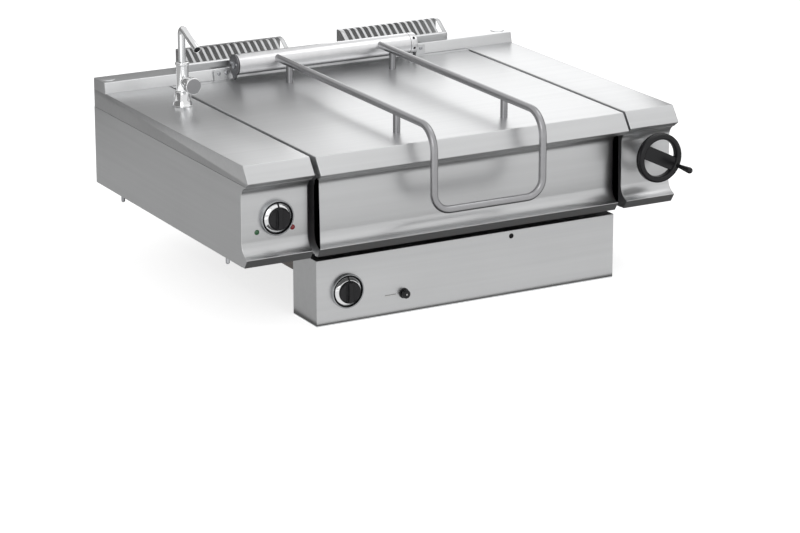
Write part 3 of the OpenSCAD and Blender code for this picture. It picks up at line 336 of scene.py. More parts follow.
def hood(name, path, close, x0, x1, bend, thickness, material):
    """A folded hood, open below: the path carried along X, turning into two flat sides.

    Top, front and rear meet the sides in a rounded edge. The points in close complete each side.
    """
    path = np.asarray(path, float)
    verts, rows = folded_rows(path, x0, x1, bend)
    count = len(path)
    faces = grid_faces(rows, count)
    for base, x, flip in ((0, x0, True), ((rows - 1) * count, x1, False)):
        start = len(verts)
        verts = np.vstack([verts, [(x, d, z) for d, z in close]])
        side = [base + n for n in range(count)] + [start + n for n in range(len(close))]
        faces.append(side[::-1] if flip else side)
    return add_wall(new_piece(name, verts, faces, material, 50), thickness)


def open_back_box(name, low, high, bend, thickness, material):
    """A folded box open at the rear: front and four walls between two corners, with rounded folds."""
    (x0, d0, z0), (x1, d1, z1) = low, high
    verts = [(x, d, z) for d in (d0, d1) for x, z in ((x0, z0), (x1, z0), (x1, z1), (x0, z1))]
    faces = [(0, 1, 2, 3)] + [(n, n + 4, (n + 1) % 4 + 4, (n + 1) % 4) for n in range(4)]
    piece = new_piece(name, verts, faces, material, 30)
    soften(piece, bend, 4)
    return add_wall(piece, thickness)


def side_plate(name, outline, x0, x1, material, bevel=0.4):
    """A flat plate facing sideways: an outline in (d, z) carried from x0 to x1, with a broken edge."""
    outline = np.asarray(outline, float)
    count = len(outline)
    verts = np.vstack([np.column_stack([np.full(count, x), outline]) for x in (x0, x1)])
    faces = flipped(capped_grid(2, count))
    area = np.sum(outline[:, 0] * np.roll(outline[:, 1], -1) - np.roll(outline[:, 0], -1) * outline[:, 1])
    if area > 0:
        faces = flipped(faces)
    return soften(new_piece(name, verts, faces, material, 30), bevel)


def plate(name, outline, d0, d1, material, bevel):
    """A flat plate facing forward: an outline in (x, z) carried from d0 to d1, with a broken edge."""
    outline = np.asarray(outline, float)
    count = len(outline)
    verts = np.vstack([np.column_stack([outline[:, 0], np.full(count, d), outline[:, 1]]) for d in (d0, d1)])
    return soften(new_piece(name, verts, capped_grid(2, count), material, 30), bevel)


def block(name, low, high, material, bevel):
    """A rectangular block between two corners, with a bevelled edge."""
    (x0, d0, z0), (x1, d1, z1) = low, high
    return plate(name, [(x0, z0), (x1, z0), (x1, z1), (x0, z1)], d0, d1, material, bevel)


# Materials


class Socket:
    """An output socket that adds Math nodes for the usual signs, and any other node by name."""

    def __init__(self, tree, output):
        self.tree, self.output = tree, output

    def math(self, operation, *others):
        """A Math node of this value and the others."""
        node = self.tree.nodes.new("ShaderNodeMath")
        node.operation = operation
        for place, value in enumerate((self, *others)):
            feed(self.tree, node.inputs[place], value)
        return Socket(self.tree, node.outputs[0])

    def node(self, kind, into="Vector", **inputs):
        """Any other node, with this socket into the named input."""
        node = self.tree.nodes.new(kind)
        feed(self.tree, node.inputs[into], self)
        for key, value in inputs.items():
            feed(self.tree, node.inputs[key], value)
        return Socket(self.tree, node.outputs[0])

    def __add__(self, other):
        return self.math("ADD", other)

    def __sub__(self, other):
        return self.math("SUBTRACT", other)

    def __mul__(self, other):
        return self.math("MULTIPLY", other)


def feed(tree, target, value):
    """Links a Socket into an input, or sets the input's own value."""
    if isinstance(value, Socket):
        tree.links.new(value.output, target)
    else:
        target.default_value = value


def mixed(tree, factor, low, high):
    """A colour mix of two colours by a factor socket."""
    node = tree.nodes.new("ShaderNodeMix")
    node.data_type = "RGBA"
    for name, value in (("Factor", factor), ("A", low), ("B", high)):
        target = [s for s in node.inputs if s.name == name and (name == "Factor" or s.type == "RGBA")][0]
        feed(tree, target, value)
    return Socket(tree, [s for s in node.outputs if s.type == "RGBA"][0])


def scaled(colour, factor):
    """A colour times a factor, at most 1, with its alpha."""
    return tuple(min(1.0, c * factor) for c in colour) + (1.0,)


def blank_material(name):
    """A new node material; returns it with its tree, shader and Object coordinates."""
    material = bpy.data.materials.new(name)
    material.use_nodes = True
    tree = material.node_tree
    shader = tree.nodes["Principled BSDF"]
    where = tree.nodes.new("ShaderNodeTexCoord")
    return material, tree, shader, Socket(tree, where.outputs["Object"])


def stretched_noise(place, scale, detail):
    """Noise on Object coordinates stretched by a scale per axis, as grain along one direction."""
    moved = place.node("ShaderNodeMapping", Scale=scale)
    return moved.node("ShaderNodeTexNoise", Scale=1.0, Detail=detail, Roughness=0.55)


def grain_scale(grain, across, along):
    """Noise scale per axis: one value along the grain's axis letter and another across it."""
    return [along if letter == grain else across for letter in "xyz"]


def grained_metal(name, colour, roughness, grain, depth=0.25, cloud=0.06):
    """Ground or brushed metal: fine lines along the grain in the bump, clouds in colour and roughness.

    grain is the axis letter the lines run along; lines vary quickly across it and slowly along it.
    """
    material, tree, shader, place = blank_material(name)
    lines = stretched_noise(place, grain_scale(grain, 900.0, 9.0), 2.0)
    bands = stretched_noise(place, grain_scale(grain, 70.0, 1.5), 2.0)
    clouds = stretched_noise(place, (3.1, 3.7, 4.3), 4.0)
    shade = (bands * 0.5 + clouds * 0.5 - 0.25) * 2.0
    colours = mixed(tree, shade, scaled(colour, 1 - cloud), scaled(colour, 1 + cloud))
    feed(tree, shader.inputs["Base Color"], colours)
    feed(tree, shader.inputs["Roughness"], lines * 0.07 + (clouds * 0.10 + (roughness - 0.085)))
    shader.inputs["Metallic"].default_value = 1.0
    bump = lines.node("ShaderNodeBump", into="Height", Strength=depth, Distance=0.0002)
    feed(tree, shader.inputs["Normal"], bump)
    return material


def plain_material(name, colour, roughness, metallic=0.0, gloss=0.5, speck=0.03, grain=400.0, bump=0.1):
    """Plastic, cast or plated surface: one colour with a fine speckle in roughness and height."""
    material, tree, shader, place = blank_material(name)
    speckle = stretched_noise(place, (grain, grain, grain), 2.0)
    cloud = stretched_noise(place, (9.0, 11.0, 10.0), 3.0)
    feed(tree, shader.inputs["Base Color"], mixed(tree, cloud, scaled(colour, 0.9), scaled(colour, 1.08)))
    rough = speckle * (2 * speck) + (cloud * 0.05 + (roughness - speck - 0.025))
    feed(tree, shader.inputs["Roughness"], rough)
    shader.inputs["Metallic"].default_value = metallic
    shader.inputs["Specular IOR Level"].default_value = gloss
    height = speckle.node("ShaderNodeBump", into="Height", Strength=bump, Distance=0.0003)
    feed(tree, shader.inputs["Normal"], height)
    return material


def lens_material(name, colour, glow):
    """A lamp lens: clear coloured plastic with a faint even glow."""
    material, tree, shader, place = blank_material(name)
    facets = stretched_noise(place, (500.0, 500.0, 500.0), 1.0)
    feed(tree, shader.inputs["Base Color"], mixed(tree, facets, scaled(colour, 0.8), scaled(colour, 1)))
    shader.inputs["Roughness"].default_value = 0.12
    shader.inputs["Coat Weight"].default_value = 0.6
    shader.inputs["Emission Color"].default_value = colour + (1.0,)
    shader.inputs["Emission Strength"].default_value = glow
    return material


# Settings


def colour_setting(name, description, default):
    """A colour that a user may change."""
    return FloatVectorProperty(name=name, description=description, subtype="COLOR", default=default)


def number_setting(name, description, default, low, high, **kind):
    """A number that a user may change, between two limits; kind is its unit or subtype."""
    return FloatProperty(name=name, description=description, default=default, min=low, max=high, **kind)


class SteelSettings(bpy.types.PropertyGroup):
    """Colours and roughness of the metals."""

    casing: colour_setting("Casing steel", "Colour of the outer sheet", (0.63, 0.635, 0.64))
    casing_roughness: number_setting(
        "Casing roughness", "How dull the outer sheet is", 0.33, 0.1, 0.8, subtype="FACTOR"
    )
    tube: colour_setting("Tube steel", "Colour of the hinge tube", (0.82, 0.82, 0.83))
    handle: colour_setting("Handle steel", "Colour of the lid's handle and posts", (0.40, 0.40, 0.41))
    hidden: colour_setting("Inner steel", "Colour of the sheet inside", (0.45, 0.45, 0.46))
    chrome: colour_setting("Chrome", "Colour of tap and knob skirts", (0.90, 0.905, 0.91))


class SheetSettings(bpy.types.PropertyGroup):
    """Wall and bends of the folded sheet, in mm."""

    wall: number_setting("Wall", "Sheet thickness in mm", 1.5, 0.8, 2.5)
    bend: number_setting("Bend", "Outer radius of the folds in mm", 2.4, 1.6, 6)
    end_bend: number_setting("End bend", "Outer radius of the folded ends in mm", 1.6, 0.8, 4)
    box_bend: number_setting("Box bend", "Outer radius of the control box's folds in mm", 0.9, 0.5, 4)
    nose_bend: number_setting("Nose bend", "Outer radius of the fold at the worktop's edge in mm", 3.5, 2, 8)
    tube_radius: number_setting("Hinge tube", "Outer radius of the hinge tube in mm", 27.0, 24, 31.5)
    slot: number_setting("Slot", "Width of a grille slot in mm", 12.0, 8, 14)
    grille_slots: IntProperty(
        name="Grille slots", description="Slots in one flue grille", default=15, min=10, max=18
    )


class ControlSettings(bpy.types.PropertyGroup):
    """Colours of knobs, lamps and handwheel."""

    plastic: colour_setting("Black plastic", "Colour of knobs and wheel", (0.018, 0.018, 0.02))
    # The pale colour serves the mark beside the igniter and the painted highlight on its button.
    mark: colour_setting("Mark", "Colour of dot and line at the igniter", (0.75, 0.75, 0.73))
    green: colour_setting("Green lamp", "Colour of the left lamp", (0.02, 0.12, 0.04))
    red: colour_setting("Red lamp", "Colour of the right lamp", (0.24, 0.008, 0.012))


class StageSettings(bpy.types.PropertyGroup):
    """Floor, light and camera."""

    floor: colour_setting("Floor", "Colour of the floor", (0.80, 0.80, 0.80))
    key: number_setting("Key light", "Power of the large lamp", 29, 0, 2000, unit="POWER")
    fill: number_setting("Fill light", "Power of the front lamp", 25, 0, 2000, unit="POWER")
    rear: number_setting("Rear light", "Power of the lamp behind", 15, 0, 2000, unit="POWER")
    sky: number_setting("Sky", "Strength of the light from all round", 0.55, 0, 2)
    lens: number_setting("Lens", "Focal length of the camera", 141.6, 20, 300, unit="CAMERA")


# Finishes of the solids that keep their shape

WEAR = {
    "sheet_x": ["hinge_rail", "lid_inner_skin"],
    "handle": ["handle_posts"],
    "inner": ["column_floors", "rear_panel", "lower_crossmember", "rear_crossmember", "control_box_back"],
    "cooking": ["pan_basin"],
    "hot": ["flue_duct", "combustion_tray", "burners"],
    "cast": ["pan_bottom_plate", "worm_bracket", "trunnion_bearings"],
    "plated": ["support_studs", "trunnions", "worm_shaft", "hinge_shaft"],
    "spring": ["lid_spring"],
    "brass": ["gas_manifold", "gas_valve", "supply_inlets"],
    "bronze": ["worm_bushes", "worm_wheel"],
    "dull": ["cable_gland"],
    "grey": ["thermostat_body"],
    "green": ["green_lamp"],
    "red": ["red_lamp"],
}


# Shared materials, made once by the finishes operator

FINISHES = {}


def finish(name):
    """A shared material by name."""
    return FINISHES[name]


def dress(node, material):
    """Gives a solid that keeps its shape a better material."""
    slots = bpy.data.objects[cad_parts[node].name].material_slots
    for slot in slots:
        slot.material = finish(material)


def attach(piece, body, slot, *nodes):
    """Lets a piece ride on a body and hides the solids that it stands for; the slot argument is not used."""
    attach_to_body(piece, body)
    if nodes:
        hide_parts(*nodes)
    return piece


# Operators


class BRATT_OT_finishes(bpy.types.Operator):
    """Make the metals, plastics and lenses and put them on the solids"""

    bl_idname = "bratt.finishes"
    bl_label = "Finishes"

    def execute(self, context):
        steel, controls = context.scene.bratt_steel, context.scene.bratt_controls
        casing, rough = tuple(steel.casing), steel.casing_roughness
        # The upstand and the hinge flanges get the casing steel made 1.25 times lighter, though they are the
        # same sheet: painted light.
        painted_lighter_casing = tuple(min(1.0, c * 1.25) for c in casing)
        plastic, chrome = tuple(controls.plastic), tuple(steel.chrome)
        FINISHES.update({
            "sheet_x": grained_metal("casing_grain_across", casing, rough, "x"),
            "sheet_y": grained_metal("casing_grain_back", casing, rough + 0.03, "y"),
            "upstand": grained_metal("upstand_painted_lighter", painted_lighter_casing, rough, "x"),
            "tube": grained_metal("tube_polished", tuple(steel.tube), 0.3, "y", 0.1),
            "handle": grained_metal("handle_satin", tuple(steel.handle), 0.3, "y", 0.1),
            "inner": grained_metal("mill_finish", tuple(steel.hidden), 0.45, "y", 0.15),
            "cooking": grained_metal("ground_pan", (0.60, 0.60, 0.59), 0.36, "x", 0.3, 0.1),
            "hot": plain_material("heat_tinted", (0.23, 0.21, 0.20), 0.6, 1.0, speck=0.08, grain=120.0),
            "cast": plain_material("cast_iron", (0.06, 0.06, 0.065), 0.65, 0.3, speck=0.08, grain=250.0,
                                   bump=0.5),
            # The grilles' inner face is darker than the outer sheet: painted shade seen through the slots.
            "grille_painted_shade": plain_material("grille_inside_painted_shade", (0.42, 0.42, 0.42), 0.55, 0.8, speck=0.06, grain=90.0),
            "web": plain_material("blasted_dark", (0.20, 0.20, 0.21), 0.42, 1.0),
            # The bezels' plating is darker than the chrome so that it shows the dark surroundings it
            # reflects: painted shade.
            "bezel": plain_material("bezel_painted_darker", (0.42, 0.43, 0.44), 0.16, 1.0, speck=0.02, bump=0.02),
            "satin": plain_material("satin_plate", (0.42, 0.42, 0.43), 0.3, 1.0, speck=0.03, bump=0.05),
            "plated": plain_material("zinc_plated", (0.55, 0.56, 0.58), 0.32, 1.0),
            "spring": plain_material("spring_wire", (0.13, 0.14, 0.15), 0.35, 1.0),
            "brass": plain_material("brass", (0.62, 0.46, 0.18), 0.3, 1.0),
            "bronze": plain_material("bronze", (0.50, 0.30, 0.13), 0.38, 1.0),
            "black": plain_material("satin_black", plastic, 0.24, gloss=0.3),
            "dull": plain_material("dull_black", (0.02, 0.02, 0.022), 0.6),
            "grey": plain_material("grey_plastic", (0.35, 0.36, 0.36), 0.5),
            "chrome": plain_material("chrome", chrome, 0.1, 1.0, speck=0.02, bump=0.02),
            "mark": plain_material("print_and_highlight_paint", tuple(controls.mark), 0.45),
            "line": plain_material("etched_line", (0.09, 0.09, 0.09), 0.6, 0.4),
            "green": lens_material("green_lens", tuple(controls.green), 0.15),
            "red": lens_material("red_lens", tuple(controls.red), 0.15),
        })
        for material, nodes in WEAR.items():
            for node in nodes:
                dress(node, material)
        return {"FINISHED"}


def worktop_path(front, rear, drop, s):
    """Section of a worktop in (d, z), from the rear foot over the top and down the nose."""
    nose_line = [(d + front, z - (drop if n else 0)) for n, (d, z) in enumerate(NOSE_LINE)]
    points = [(rear, SEAM), (rear, TOP), *nose_line]
    return filleted(points, [0, s.bend, s.nose_bend, s.bend, 0])


class BRATT_OT_worktops(bpy.types.Operator):
    """Folded worktops of the two columns, and the lid between them"""

    bl_idname = "bratt.worktops"
    bl_label = "Worktops and lid"

    def execute(self, context):
        s = context.scene.bratt_sheet
        lid_drop = 1.5
        for node, name, body, (low, high), drop in (
            ("left_worktop", "left_worktop_skin", "frame", COLUMN_LEFT, 0.0),
            ("right_worktop", "right_worktop_skin", "frame", COLUMN_RIGHT, 0.0),
            ("lid_panel", "lid_skin", "lid", LID, lid_drop),
        ):
            front = low[1] if body == "lid" else 0.0
            path = worktop_path(front, high[1], drop, s)
            close = [(NOSE_LINE[-1][0] + front, SEAM)]
            piece = hood(name, path, close, low[0], high[0], s.bend, s.wall, finish("sheet_x"))
            attach(piece, body, "casing_steel", node)
        return {"FINISHED"}


def column_side_outline(rear, top, inset):
    """Outline in (d, z) of a column's side: the front profile less the fold, then foot, rear and top."""
    path = front_profile()
    line = path + side_normals(path) * inset
    return [(COVE[0] + inset, top), *line, (line[-1][0], 0.0), (rear, 0.0), (rear, top)]


class BRATT_OT_fascias(bpy.types.Operator):
    """Smoothly curved fascias of the columns and the pan's front, with folded ends"""

    bl_idname = "bratt.fascias"
    bl_label = "Fascias"

    def execute(self, context):
        s = context.scene.bratt_sheet
        path = front_profile()
        for node, body, (low, high) in (
            ("left_fascia", "frame", COLUMN_LEFT),
            ("right_fascia", "frame", COLUMN_RIGHT),
            ("pan_front_panel", "pan", PAN),
        ):
            piece = wrapped_strip(f"{node}_skin", path, low[0], high[0], s.end_bend, s.wall,
                                  finish("sheet_x"))
            attach(piece, body, "casing_steel", node)
        return {"FINISHED"}


class BRATT_OT_sides(bpy.types.Operator):
    """Side panels and inner cheeks of the columns, and the casing round the pan"""

    bl_idname = "bratt.sides"
    bl_label = "Sides"

    def execute(self, context):
        s = context.scene.bratt_sheet
        bend = s.end_bend
        for kind, look, slot in (
            ("side_panel", "sheet_y", "casing_steel"),
            ("inner_cheek", "inner", "inner_steel"),
        ):
            for side in ("left", "right"):
                node = f"{side}_{kind}"
                low, high = extent(node)
                outline = column_side_outline(high[1], high[2], bend)
                piece = side_plate(f"{node}_skin", outline, low[0], high[0], finish(look))
                if kind == "inner_cheek":
                    self.trunnion_hole(piece, (low[0] + high[0]) / 2, finish(look))
                attach(piece, "frame", slot, node)
        self.pan_casing(bend, s.wall)
        return {"FINISHED"}

    def trunnion_hole(self, piece, x, material):
        """Hole for the trunnion, on the worm wheel's axis."""
        radius, reach = 17, 8
        low, high = extent("worm_wheel")
        _, d, z = (low + high) / 2
        cut(piece, [lathe("trunnion_hole", [(radius, -reach), (radius, reach)], (x, d, z), RIGHT, material)])

    def pan_casing(self, bend, wall):
        """Two sides with the front's profile and a rear plate."""
        low, high = PAN
        path = front_profile()[:-1]
        line = path + side_normals(path) * bend
        foot = low[2] + 4.0
        behind_toe = line[-1][0] + 13
        outline = [(COVE[0] + 4, high[2]), *line, (behind_toe, 0.0), (behind_toe, foot), (high[1], foot),
                   (high[1], high[2])]
        for side, x in (("left", low[0]), ("right", high[0] - wall)):
            piece = side_plate(f"pan_casing_{side}", outline, x, x + wall, finish("sheet_y"))
            attach(piece, "pan", "casing_steel", "pan_casing")
        rear = block("pan_casing_rear", (low[0], high[1] - wall, foot), high, finish("sheet_x"), 0.4)
        attach(rear, "pan", "casing_steel", "pan_casing")


class BRATT_OT_upstand(bpy.types.Operator):
    """Upstand with its flue openings, apron and round plugs"""

    bl_idname = "bratt.upstand"
    bl_label = "Upstand"

    def execute(self, context):
        s = context.scene.bratt_sheet
        low, high = UPSTAND
        # Upstand, apron and plugs take the lighter copy of the casing steel, which paints extra light on
        # them.
        sheet = finish("upstand")
        foot, lean = TOP - s.bend, 7.0
        face = [(high[1], foot), (high[1], high[2]), (low[1] + lean, high[2]), (low[1] + 0.1, TOP),
                (low[1], foot)]
        path = filleted(face, [0, s.bend, s.bend, 0, 0])
        piece = hood("upstand_skin", path, [(low[1] + 30, foot)], low[0], high[0], s.bend, s.wall, sheet)
        openings = []
        for side in ("left", "right"):
            a, b = extent(f"{side}_flue_grille")
            openings.append(block(f"{side}_flue_opening", (a[0] + 12, a[1] + 8, high[2] - 6),
                                  (b[0] - 12, high[1] - 10, high[2] + 3), sheet, 0.1))
        attach(cut(piece, openings), "frame", "casing_steel", "rear_upstand")
        apron = block("upstand_apron", (COLUMN_LEFT[1][0], low[1], low[2]),
                      (COLUMN_RIGHT[0][0], low[1] + s.wall, foot), sheet, 0.3)
        attach(apron, "frame", "casing_steel", "rear_upstand")
        self.plugs(high[2], sheet)
        return {"FINISHED"}

    def plugs(self, top, material):
        """Low round plugs on the ends of the upstand."""
        low, high = extent("upstand_caps")
        r = 19.0
        profile = [(r, 0), (r, 0.7), (r - 0.8, 1.5), (r - 4, 2.0), (0.5, 2.0)]
        for side, x in (("left", low[0] + r), ("right", high[0] - r)):
            plug = lathe(f"{side}_plug", profile, (x, (low[1] + high[1]) / 2, top), UP, material, 72)
            attach(plug, "frame", "casing_steel", "upstand_caps")


class BRATT_OT_grilles(bpy.types.Operator):
    """Slotted hoods over the two flue openings"""

    bl_idname = "bratt.grilles"
    bl_label = "Grilles"

    def execute(self, context):
        s = context.scene.bratt_sheet
        for side in ("left", "right"):
            low, high = extent(f"{side}_flue_grille")
            piece = self.slotted_hood(f"{side}_grille_skin", low, high, s.grille_slots, s.slot)
            # The inner face gets the darker finish, painted shade inside the hood.
            add_wall(piece, s.wall, finish("grille_painted_shade"))
            soften(piece, 0.4)
            attach(piece, "frame", "casing_steel", f"{side}_flue_grille")
        return {"FINISHED"}

    def slotted_hood(self, name, low, high, slots, slot):
        """Section rows times slot-edge columns: up the rear, over an arc, down the slope to a plain band.

        A quad is left out where its column is a slot and its rows lie between the slot's two ends.
        """
        slope, r, band, margin = math.radians(36), 25.0, 18.0, 12.0
        front, rear, foot, top = low[1], high[1], low[2], high[2]
        tangent = front + (top - r + r * math.cos(slope) - foot - band) / math.tan(slope)
        crown = tangent + r * math.sin(slope)
        arc = arc_points((crown, top - r), r, 90, 126, 12)
        rise = 4.0
        bend = arc_points((front + 3.2, foot + band - 0.9), 3.2, 144, 180, 4)
        back = [(rear, foot), (rear, top - 2), (rear - 0.6, top - 0.6), (rear - 2, top), (crown + 5, top)]
        slope_end = (front + rise / math.tan(slope), foot + band + rise)
        path = np.array([*back, *arc, slope_end, *bend, (front, foot)])
        pitch = (high[0] - low[0] - 2 * margin - slot) / (slots - 1)
        middles = low[0] + margin + slot / 2 + pitch * np.arange(slots)
        edges = middles[:, None] + (-slot / 2, slot / 2)
        columns = np.concatenate([[low[0]], edges.ravel(), [high[0]]])
        verts = np.concatenate([np.column_stack([np.full(len(path), x), path]) for x in columns])
        faces = np.array(grid_faces(len(columns), len(path)))
        column, row = faces[:, 0] // len(path), faces[:, 0] % len(path)
        first, last = len(back) - 1, len(back) + len(arc)
        open_here = (column % 2 == 1) & (row >= first) & (row < last)
        return new_piece(name, verts, faces[~open_here].tolist(), finish("sheet_x"), 50)


class BRATT_OT_box(bpy.types.Operator):
    """Control box with folded edges, the sight hole and the bore for the igniter's stem"""

    bl_idname = "bratt.box"
    bl_label = "Control box"

    def execute(self, context):
        s = context.scene.bratt_sheet
        low, high = BOX
        sheet = finish("sheet_x")
        piece = open_back_box("control_box_skin", low, high, s.box_bend, s.wall, sheet)
        stem = front_of("igniter_button")
        bores = []
        for name, x, z, r in (
            ("sight_hole", low[0] + 540.7, high[2] - 14.5, 6.6),
            ("igniter_bore", stem[0], stem[2], 5.3),
        ):
            bores.append(lathe(name, [(r, -6), (r, 6)], (x, low[1], z), BACK, sheet, 48))
        attach(cut(piece, bores), "frame", "casing_steel", "control_box")
        return {"FINISHED"}


class BRATT_OT_hinge(bpy.types.Operator):
    """Hinge tube and spring collar, drop-shaped webs with their flanges, and the heads of the screws"""

    bl_idname = "bratt.hinge"
    bl_label = "Hinge"

    bore = 9.05
    sheet = 3.0
    flange_length = 47.0
    left_screws = (38, 17)
    right_screws = (16, 35)

    def execute(self, context):
        r = context.scene.bratt_sheet.tube_radius
        low, high = extent("hinge_tube")
        _, far = extent("spring_collar")
        left, right = extent("hinge_brackets")
        half = (high[2] - low[2]) / 2
        d, z = high[1] - half, high[2] - half
        length, bore = high[0] - low[0], self.bore
        loop = [(bore, 0), (r - 1.2, 0), (r - 0.35, 0.35), (r, 1.2), (r, length - 0.5), (r - 0.5, length),
                (bore, length)]
        piece = lathe("hinge_tube_skin", loop, (low[0], d, z), RIGHT, finish("tube"), 128, closed=True)
        attach(piece, "lid", "tube_steel", "hinge_tube")
        self.collar(r, far[0] - high[0], (high[0], d, z))
        self.screw("tube_stop_screw", 3.4, 2.4, (low[0] + 7, d - 4, z + r - 0.5), UP, "lid")

        rows = (left[2], right[1] - self.sheet, right[1])
        web = low[0] - 5.5
        end = right[0] - self.flange_length
        self.bracket("left", web, left[0], d, z + 0.5, r, rows)
        self.bracket("right", end, end, d, z, 15.0, rows)
        places = [low[0] - x for x in self.left_screws] + [far[0] + x for x in self.right_screws]
        for n, x in enumerate(places):
            self.screw(f"flange_screw_{n}", 5.0, 2.5, (x, rows[1], TOP + 16), FORWARD, "pan", "hinge_screws")
        for n, side in enumerate((-1, 1)):
            self.screw(f"web_screw_{n}", 3.6, 2.5, (web, d + side * 15, z + 3), LEFT, "pan", "hinge_screws")
        return {"FINISHED"}

    def collar(self, r, width, start):
        """Ring beside the tube with two bores for a tommy bar, each with a dark disc at its bottom as painted
        shade.
        """
        tube, dull, bore = finish("tube"), finish("dull"), self.bore
        loop = [(bore, 0.8), (r - 0.5, 0.8), (r, 1.3), (r, width - 1.5), (r - 0.4, width - 0.6),
                (r - 1.5, width), (bore, width)]
        ring = lathe("spring_collar_skin", loop, start, RIGHT, tube, 128, closed=True)
        middle = np.array(start) + (width / 2, 0, 0)
        bores, discs = [], []
        for n, a in enumerate(np.radians((40, -20))):
            way = (0, -math.cos(a), math.sin(a))
            bores.append(lathe(f"tommy_bore_{n}", [(3.9, r - 9), (3.9, r + 4)], middle, way, tube, 32))
            # A dark disc deep in each bore paints the shade inside it.
            bottom = [(3.95, r - 9.2), (3.95, r - 8), (0.3, r - 8)]
            discs.append(lathe(f"tommy_bore_painted_shade_{n}", bottom, middle, way, dull, 32))
        attach(cut(ring, bores), "pan", "tube_steel", "spring_collar")
        for disc in discs:
            attach(disc, "pan", "black_plastic", "spring_collar")

    def bracket(self, side, x, start, d, z, radius, rows):
        """Web: a circle of a radius about (d, z) drawn down to a point at the rail; an upright flange."""
        foot, front, rear = rows
        turn = np.radians(np.linspace(-28, 200, 26))
        outline = [(d + radius * math.cos(a), z + radius * math.sin(a)) for a in turn]
        outline += [(d - 5, TOP + 4), (d - 1, TOP + 1), (d + 4, TOP + 3)]
        piece = side_plate(f"{side}_web", outline, x, x + 4, finish("web"), 0.5)
        attach(piece, "pan", "hot_steel", "hinge_brackets")
        a, b, top = start, start + self.flange_length, TOP + 26
        middle = ((a + b) / 2, foot)
        corners = [middle, (b, foot), (b, top), (a, top), (a, foot), middle]
        outline = filleted(corners, [0, 5, 3, 3, 5, 0], 5)[:-1]
        # The flanges take the lighter copy of the casing steel too: painted light.
        piece = plate(f"{side}_flange", outline, front, rear, finish("upstand"), 0.4)
        attach(piece, "pan", "hot_steel", "hinge_brackets")

    def screw(self, name, r, h, base, axis, body, *nodes):
        """Button head: a dome of radius r and height h with a round socket sunk in it."""
        dome = [(r, 0), (r, 0.25 * h), (0.93 * r, 0.55 * h), (0.78 * r, 0.82 * h), (0.55 * r, h),
                (0.42 * r, h), (0.40 * r, 0.45 * h), (0.01, 0.4 * h)]
        attach(lathe(name, dome, base, axis, finish("plated"), 36), body, "zinc_steel", *nodes)


class BRATT_OT_handle(bpy.types.Operator):
    """Lid handle bent from one tube"""

    bl_idname = "bratt.handle"
    bl_label = "Handle"

    def execute(self, context):
        r, inside_tube, arm_bend, bar_bend = 9.5, 18.0, 60.0, 44.0
        low, high = extent("lid_handle")
        rear = extent("hinge_tube")[0][1] + inside_tube
        xa, xb = low[0] + r, high[0] - r
        bar, arm, leg = low[2] + r, high[2] - r, low[1] + r
        half = [(rear, arm), (leg, arm), (leg, bar)]
        points = [(xa, d, z) for d, z in half] + [(xb, d, z) for d, z in half[::-1]]
        path = filleted(points, [0, arm_bend, bar_bend, bar_bend, arm_bend, 0], 14)
        attach(tube("handle_tube", path, r, finish("handle")), "lid", "tube_steel", "lid_handle")
        return {"FINISHED"}


